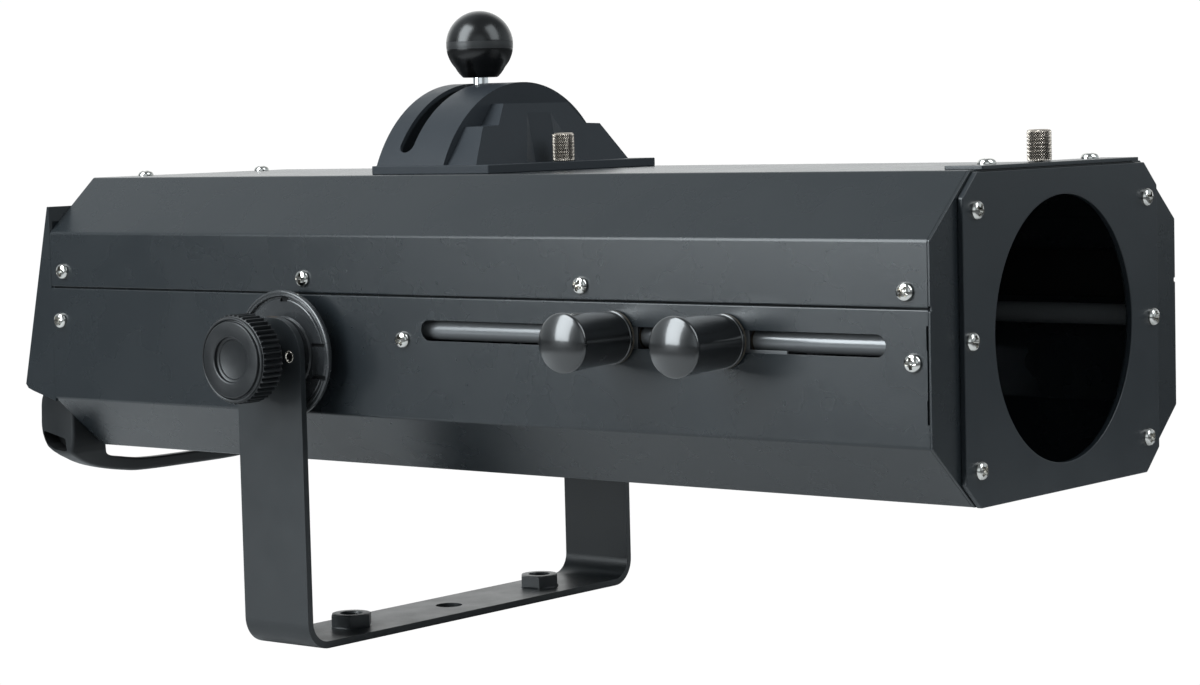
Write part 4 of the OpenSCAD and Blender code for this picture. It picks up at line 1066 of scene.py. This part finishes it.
# ---------------------------------------------------------------- handle and rear
def make_handle():
    # pairs (outer y, z, inner y, z) down the post and along the grip, near half then mirrored
    half = [((107, 38), (80, 38)), ((107, 22), (80, 22)), ((107, 10), (80, 10)), ((107, 3), (79.8, 4)), ((107, -0.8), (79.0, 0.4)), ((106.3, -3.2), (78.2, -2.2)),
            ((103.8, -5.4), (77.2, -4.6)), ((99.2, -7.9), (75.8, -6.5)), ((92.5, -11.0), (73.4, -7.9)), ((81, -14.9), (69.0, -9.1)), ((68, -17.9), (62.0, -10.2)),
            ((56, -19.9), (53.0, -11.7)), ((45, -21.3), (43.5, -12.9)), ((30, -21.8), (29.5, -13.5)), ((15, -21.9), (15, -13.6)), ((0, -21.9), (0, -13.6))]
    key = [(-a[0], a[1], -b[0], b[1]) for a, b in half] + [(a[0], a[1], b[0], b[1]) for a, b in reversed(half[:-1])]

    def cr(a, b, c, d, t):
        return tuple(0.5 * ((2 * b[i]) + (-a[i] + c[i]) * t + (2 * a[i] - 5 * b[i] + 4 * c[i] - d[i]) * t * t + (-a[i] + 3 * b[i] - 3 * c[i] + d[i]) * t ** 3) for i in range(4))
    path = []
    m = 5
    for i in range(len(key) - 1):
        a = key[max(i - 1, 0)]; b = key[i]; c = key[i + 1]; d = key[min(i + 2, len(key) - 1)]
        for t in range(m):
            path.append(cr(a, b, c, d, t / m))
    path.append(key[-1])

    def lerp(tab, z):
        if z >= tab[0][0]:
            return tab[0][1]
        for (z0, x0), (z1, x1) in zip(tab, tab[1:]):
            if z >= z1:
                return x1 + (x0 - x1) * (z - z1) / (z0 - z1)
        return tab[-1][1]
    FRONT_X = [(8, -193.25), (4, -193.6), (0, -194.4), (-4, -195.8), (-8, -198.0), (-12, -200.4), (-17, -202.9), (-22.5, -205.2)]
    REAR_X = [(37.5, -215.8), (33, -221.0), (29, -222.8), (26, -223.4), (13, -224.0), (8, -223.3), (3.3, -221.4), (0, -219.0), (-2.5, -215.4), (-4.5, -213.0), (-8, -212.2),
              (-12, -212.8), (-17, -214.4), (-22.5, -216.4)]
    R = 2.0
    bm = bmesh.new()
    rows = []
    nc = 6
    for (oy, oz, iy, iz) in path:
        o_, i_ = Vector((oy, oz)), Vector((iy, iz))
        L = (o_ - i_).length
        t = (o_ - i_) / L
        row = []
        g = min(1.0, max(0.0, (16.0 - L) / 7.0))   # 0 on the posts, 1 along the grip, whose back is rounded
        rx_, rw_ = 2.6 + g * 4.6, 2.6 + g * (L / 2 - 2.7)
        # corners in order: outer front, outer rear, inner rear, inner front
        for (st, sx, a0) in ((1, 1, 0.0), (1, -1, math.pi / 2), (-1, -1, math.pi), (-1, 1, 1.5 * math.pi)):
            ru, rw = (R, R) if sx > 0 else (rx_, rw_)
            for k in range(nc + 1):
                a = a0 + (math.pi / 2) * k / nc
                # local axes: u along x (front +), w along t (outer +)
                du, dw = ru * math.cos(a), rw * math.sin(a)
                w = st * (L / 2 - rw) + dw
                p = (o_ + i_) / 2 + t * w
                fx, rx = lerp(FRONT_X, p.y), lerp(REAR_X, p.y)
                x = (fx - ru if sx > 0 else rx + ru) + du
                row.append(bm.verts.new(V(x, p.x, p.y)))
        rows.append(row)
    n = len(rows[0])
    for A, B in zip(rows, rows[1:]):
        for i in range(n):
            j = (i + 1) % n
            bm.faces.new((A[i], A[j], B[j], B[i]))
    bm.faces.new(rows[0][::-1]); bm.faces.new(rows[-1])
    o = obj_from("rear_handle", bm, [HANDLE, INNER_BLACK_AND_SHADE], "head", replaces="handle", smooth=50)
    # the posts end along the cap's sloping underside
    top = tmp_obj(bm_prism([(-250, 60), (-180, 60), (-180, 27.5), (-193.2, 31.04), (-211.5, 35.95), (-215.8, 37.45), (-224, 37.0), (-250, 37.0)], -130, 130, "y"))
    top.data.materials.append(HANDLE)
    cut(o, [top])
    # finger recesses in the outer sides of the posts, their walls painted dark as shade
    cs = []
    for s in (-1, 1):
        q = fillet([(-220.9, 9.6), (-200.8, 5.2), (-199.8, -2.6), (-203.5, -2.9), (-211.5, -1.6), (-217.3, 1.4), (-219.9, 4.5)], [1.2, 1.5, 1.0, 2.0, 4.0, 3.0, 3.0], 5)
        y0, y1 = (s * 96.0, s * 115.0) if s > 0 else (s * 115.0, s * 96.0)
        b = bm_prism(q, y0, y1, "y")
        for f in b.faces:
            f.material_index = 1
        c = tmp_obj(b)
        c.data.materials.append(HANDLE); c.data.materials.append(INNER_BLACK_AND_SHADE)
        cs.append(c)
    cut(o, cs)
    shade(o, 42)
    return o


def make_rear():
    from_cad("rear_cap", "rear_cap_skin", SHELL, "head", 0.7, 3, 30)
    from_cad("rear_bulkhead", "rear_bulkhead_skin", SHELL, "head", 0.3, 2, 40)
    from_cad("rear_sockets", "rear_socket_set", RUBBER, "head", 0.35, 2, 40)
    from_cad("dimmer_knob", "dimmer_knob_skin", KNOB, "dimmer", 0.5, 3, 40)
    for i in range(1, 5):
        from_cad("menu_button_%d" % i, "menu_button_cap_%d" % i, BUTTON, "button_%d" % i, 0.5, 3, 40)
    from_cad("power_rocker", "power_rocker_cap", GLOSS, "rocker", 0.4, 3, 30)
    from_cad("display_window", "display_glass_pane", SCREEN, "head", 0.3, 2, 40)
    from_cad("fan_frame", "fan_frame_skin", RUBBER, "head", 0.6, 2, 40)
    from_cad("fan_rotor", "fan_rotor_skin", RUBBER, "fan", 0.5, 2, 40)


def make_inner():
    for n in ("clip_nuts", "handle_screws"):
        set_mat(n, ZINC)
    set_mat("iris_frame", ALLOY)
    set_mat("iris_ring", ALLOY)
    for i in range(1, 7):
        set_mat("iris_blade_%d" % i, INNER_BLACK_AND_SHADE)
    set_mat("guide_rods", STEEL)
    set_mat("rod_blocks", ALLOY_BLACK)
    set_mat("optical_bulkhead", INNER_BLACK_AND_SHADE)
    for n in ("rear_lens", "front_lens", "condenser_lens"):
        set_mat(n, GLASS)
    for n in ("rear_lens_cell", "front_lens_cell"):
        o = from_cad(n, n + "_skin", ALLOY_BLACK, n.replace("_lens_cell", "_carriage"), 0.4, 2, 40)
        o.data.materials.append(GREYCLIP)
        for p in o.data.polygons:
            # the folded lip that shows through the slot
            if abs(p.center.y) > 0.1155 and p.center.y < 0:
                p.material_index = 1
    for n in ("rod_bushes_rear", "rod_bushes_front"):
        set_mat(n, BRONZE)
    set_mat("heatsink", ALLOY)
    set_mat("led_board", BOARD)
    set_mat("condenser_holder", ALLOY)
    set_mat("power_supply", ALLOY)


make_shells()
make_front()
make_screws()
knurled("thumbscrew_front", 430.4, H + 2, "front_thumbscrew", "front_thumb")
knurled("thumbscrew_dome", 115.5, PZ, "dome_thumbscrew", "dome_thumb")
make_dome()
make_lever()
make_yoke()
make_locks()
make_sliders()
make_handle()
make_rear()
make_inner()

# ---------------------------------------------------------------- camera
cam_d = bpy.data.cameras.new("cam")
cam_d.sensor_fit = "HORIZONTAL"
cam_d.sensor_width = 36.0
cam_d.lens = 91.246
cam_d.clip_start = 0.05
cam_d.clip_end = 100.0
cam = bpy.data.objects.new("cam", cam_d)
COLL.objects.link(cam)
r2 = Vector((0.7788, 0.6268, -0.0248)).normalized()
d_ = Vector((-0.6266, 0.7756, -0.0758))
d_ = (d_ - r2 * d_.dot(r2)).normalized()
u2 = r2.cross(d_).normalized()
C = Vector((1.2147, -1.3525, 0.29828))
cam.matrix_world = Matrix(((r2.x, u2.x, -d_.x, C.x), (r2.y, u2.y, -d_.y, C.y), (r2.z, u2.z, -d_.z, C.z), (0, 0, 0, 1)))
bpy.context.scene.camera = cam

# ---------------------------------------------------------------- floor and light
fm = bpy.data.materials.new("floor_white")
fm.use_nodes = True
nt = fm.node_tree
for n in list(nt.nodes):
    nt.nodes.remove(n)
out = nt.nodes.new("ShaderNodeOutputMaterial")
lp = nt.nodes.new("ShaderNodeLightPath")
n1 = noise(nt, 3.0)
c = ramp(nt, n1.outputs["Fac"], [(0.3, (0.97, 0.98, 0.99, 1)), (0.7, (1.0, 1.0, 1.0, 1))])
# painted pool of light: for reflected rays the floor's colour is bright near the lamp and darkens beyond 0.5 to 0.9 m,
# standing in for the studio light falling off
ftc = nt.nodes.new("ShaderNodeTexCoord")
fln = nt.nodes.new("ShaderNodeVectorMath")
fln.operation = "LENGTH"
nt.links.new(ftc.outputs["Object"], fln.inputs[0])
fmr = nt.nodes.new("ShaderNodeMapRange")
fmr.interpolation_type = "SMOOTHSTEP"
fmr.inputs["From Min"].default_value = 0.50
fmr.inputs["From Max"].default_value = 0.90
fmr.inputs["To Min"].default_value = 0.60
fmr.inputs["To Max"].default_value = 0.12
nt.links.new(fln.outputs["Value"], fmr.inputs["Value"])
fmx = nt.nodes.new("ShaderNodeVectorMath")
fmx.operation = "SCALE"
nt.links.new(c.outputs["Color"], fmx.inputs[0])
nt.links.new(fmr.outputs["Result"], fmx.inputs["Scale"])
df = nt.nodes.new("ShaderNodeBsdfDiffuse")
nt.links.new(fmx.outputs["Vector"], df.inputs["Color"])
em = nt.nodes.new("ShaderNodeEmission")
em.inputs["Color"].default_value = (1, 1, 1, 1)
em.inputs["Strength"].default_value = 1.02
mx = nt.nodes.new("ShaderNodeMixShader")
nt.links.new(lp.outputs["Is Camera Ray"], mx.inputs["Fac"])
nt.links.new(df.outputs["BSDF"], mx.inputs[1])
nt.links.new(em.outputs["Emission"], mx.inputs[2])
nt.links.new(mx.outputs["Shader"], out.inputs["Surface"])
bm = bmesh.new()
bmesh.ops.create_circle(bm, cap_ends=True, radius=14.0, segments=96)
me = bpy.data.meshes.new("floor")
bm.to_mesh(me); bm.free()
floor = bpy.data.objects.new("floor", me)
floor.location = (0.12, 0, -0.0005)
me.materials.append(fm)
COLL.objects.link(floor)

w = bpy.data.worlds.new("studio")
bpy.context.scene.world = w
w.use_nodes = True
wt = w.node_tree
for n in list(wt.nodes):
    wt.nodes.remove(n)
wo = wt.nodes.new("ShaderNodeOutputWorld")
wtc = wt.nodes.new("ShaderNodeTexCoord")


def lobe(direction, a, b, gain):
    dt = wt.nodes.new("ShaderNodeVectorMath")
    dt.operation = "DOT_PRODUCT"
    dt.inputs[1].default_value = Vector(direction).normalized()
    wt.links.new(wtc.outputs["Generated"], dt.inputs[0])
    mr = wt.nodes.new("ShaderNodeMapRange")
    mr.interpolation_type = "SMOOTHSTEP"
    mr.inputs["From Min"].default_value = a
    mr.inputs["From Max"].default_value = b
    mr.inputs["To Max"].default_value = gain
    wt.links.new(dt.outputs["Value"], mr.inputs["Value"])
    return mr.outputs["Result"]


def wsum(socks, base):
    cur = None
    for k in socks:
        ad = wt.nodes.new("ShaderNodeMath")
        ad.operation = "ADD"
        wt.links.new(k, ad.inputs[0])
        if cur is None:
            ad.inputs[1].default_value = base
        else:
            wt.links.new(cur, ad.inputs[1])
        cur = ad.outputs["Value"]
    return cur


# neutral white cards behind the lamp, cooler fill from the rest of the room
warm = wsum([lobe((-0.66, 0.75, 0.05), 0.50, 0.92, 0.90)], 0.0)
cool = wsum([lobe((-0.78, 0.0, 0.62), 0.62, 1.0, 0.31), lobe((0.66, 0.74, -0.05), 0.6, 1.0, 0.42), lobe((0.60, -0.78, 0.15), 0.86, 0.97, 0.7)], 0.26)
b0 = wt.nodes.new("ShaderNodeBackground")
b0.inputs["Color"].default_value = (1.0, 1.0, 0.985, 1)
wt.links.new(warm, b0.inputs["Strength"])
bc = wt.nodes.new("ShaderNodeBackground")
bc.inputs["Color"].default_value = (0.86, 0.95, 1.0, 1)
wt.links.new(cool, bc.inputs["Strength"])
b1 = wt.nodes.new("ShaderNodeAddShader")
wt.links.new(b0.outputs["Background"], b1.inputs[0])
wt.links.new(bc.outputs["Background"], b1.inputs[1])
b2 = wt.nodes.new("ShaderNodeBackground")
b2.inputs["Color"].default_value = (1, 1, 1, 1)
b2.inputs["Strength"].default_value = 1.02
wlp = wt.nodes.new("ShaderNodeLightPath")
wmx = wt.nodes.new("ShaderNodeMixShader")
wt.links.new(wlp.outputs["Is Camera Ray"], wmx.inputs["Fac"])
wt.links.new(b1.outputs["Shader"], wmx.inputs[1])
wt.links.new(b2.outputs["Background"], wmx.inputs[2])
wt.links.new(wmx.outputs["Shader"], wo.inputs["Surface"])


def area(name, direction, dist, size, size_y, radiance, centre=(0.05, 0, 0.25), col=(0.93, 0.975, 1.0)):
    l = bpy.data.lights.new(name, "AREA")
    l.shape = "RECTANGLE"
    l.size = size
    l.size_y = size_y
    l.energy = radiance * math.pi * size * size_y
    l.color = col
    o = bpy.data.objects.new(name, l)
    COLL.objects.link(o)
    d = Vector(direction).normalized()
    o.location = Vector(centre) + d * dist
    o.rotation_euler = (-d).to_track_quat("-Z", "Y").to_euler()
    return o


area("softbox_left", (-0.31, -0.80, 0.50), 2.2, 1.345, 2.64, 9.2, col=(0.89, 0.96, 1.0))
area("softbox_right", (0.784, 0.111, 0.612), 2.2, 1.2, 1.9, 3.6, col=(0.89, 0.96, 1.0))

sc = bpy.context.scene
sc.view_settings.view_transform = "Standard"
sc.view_settings.look = "None"
sc.view_settings.exposure = 0.0
sc.view_settings.gamma = 1.0

bpy.context.view_layer.update()
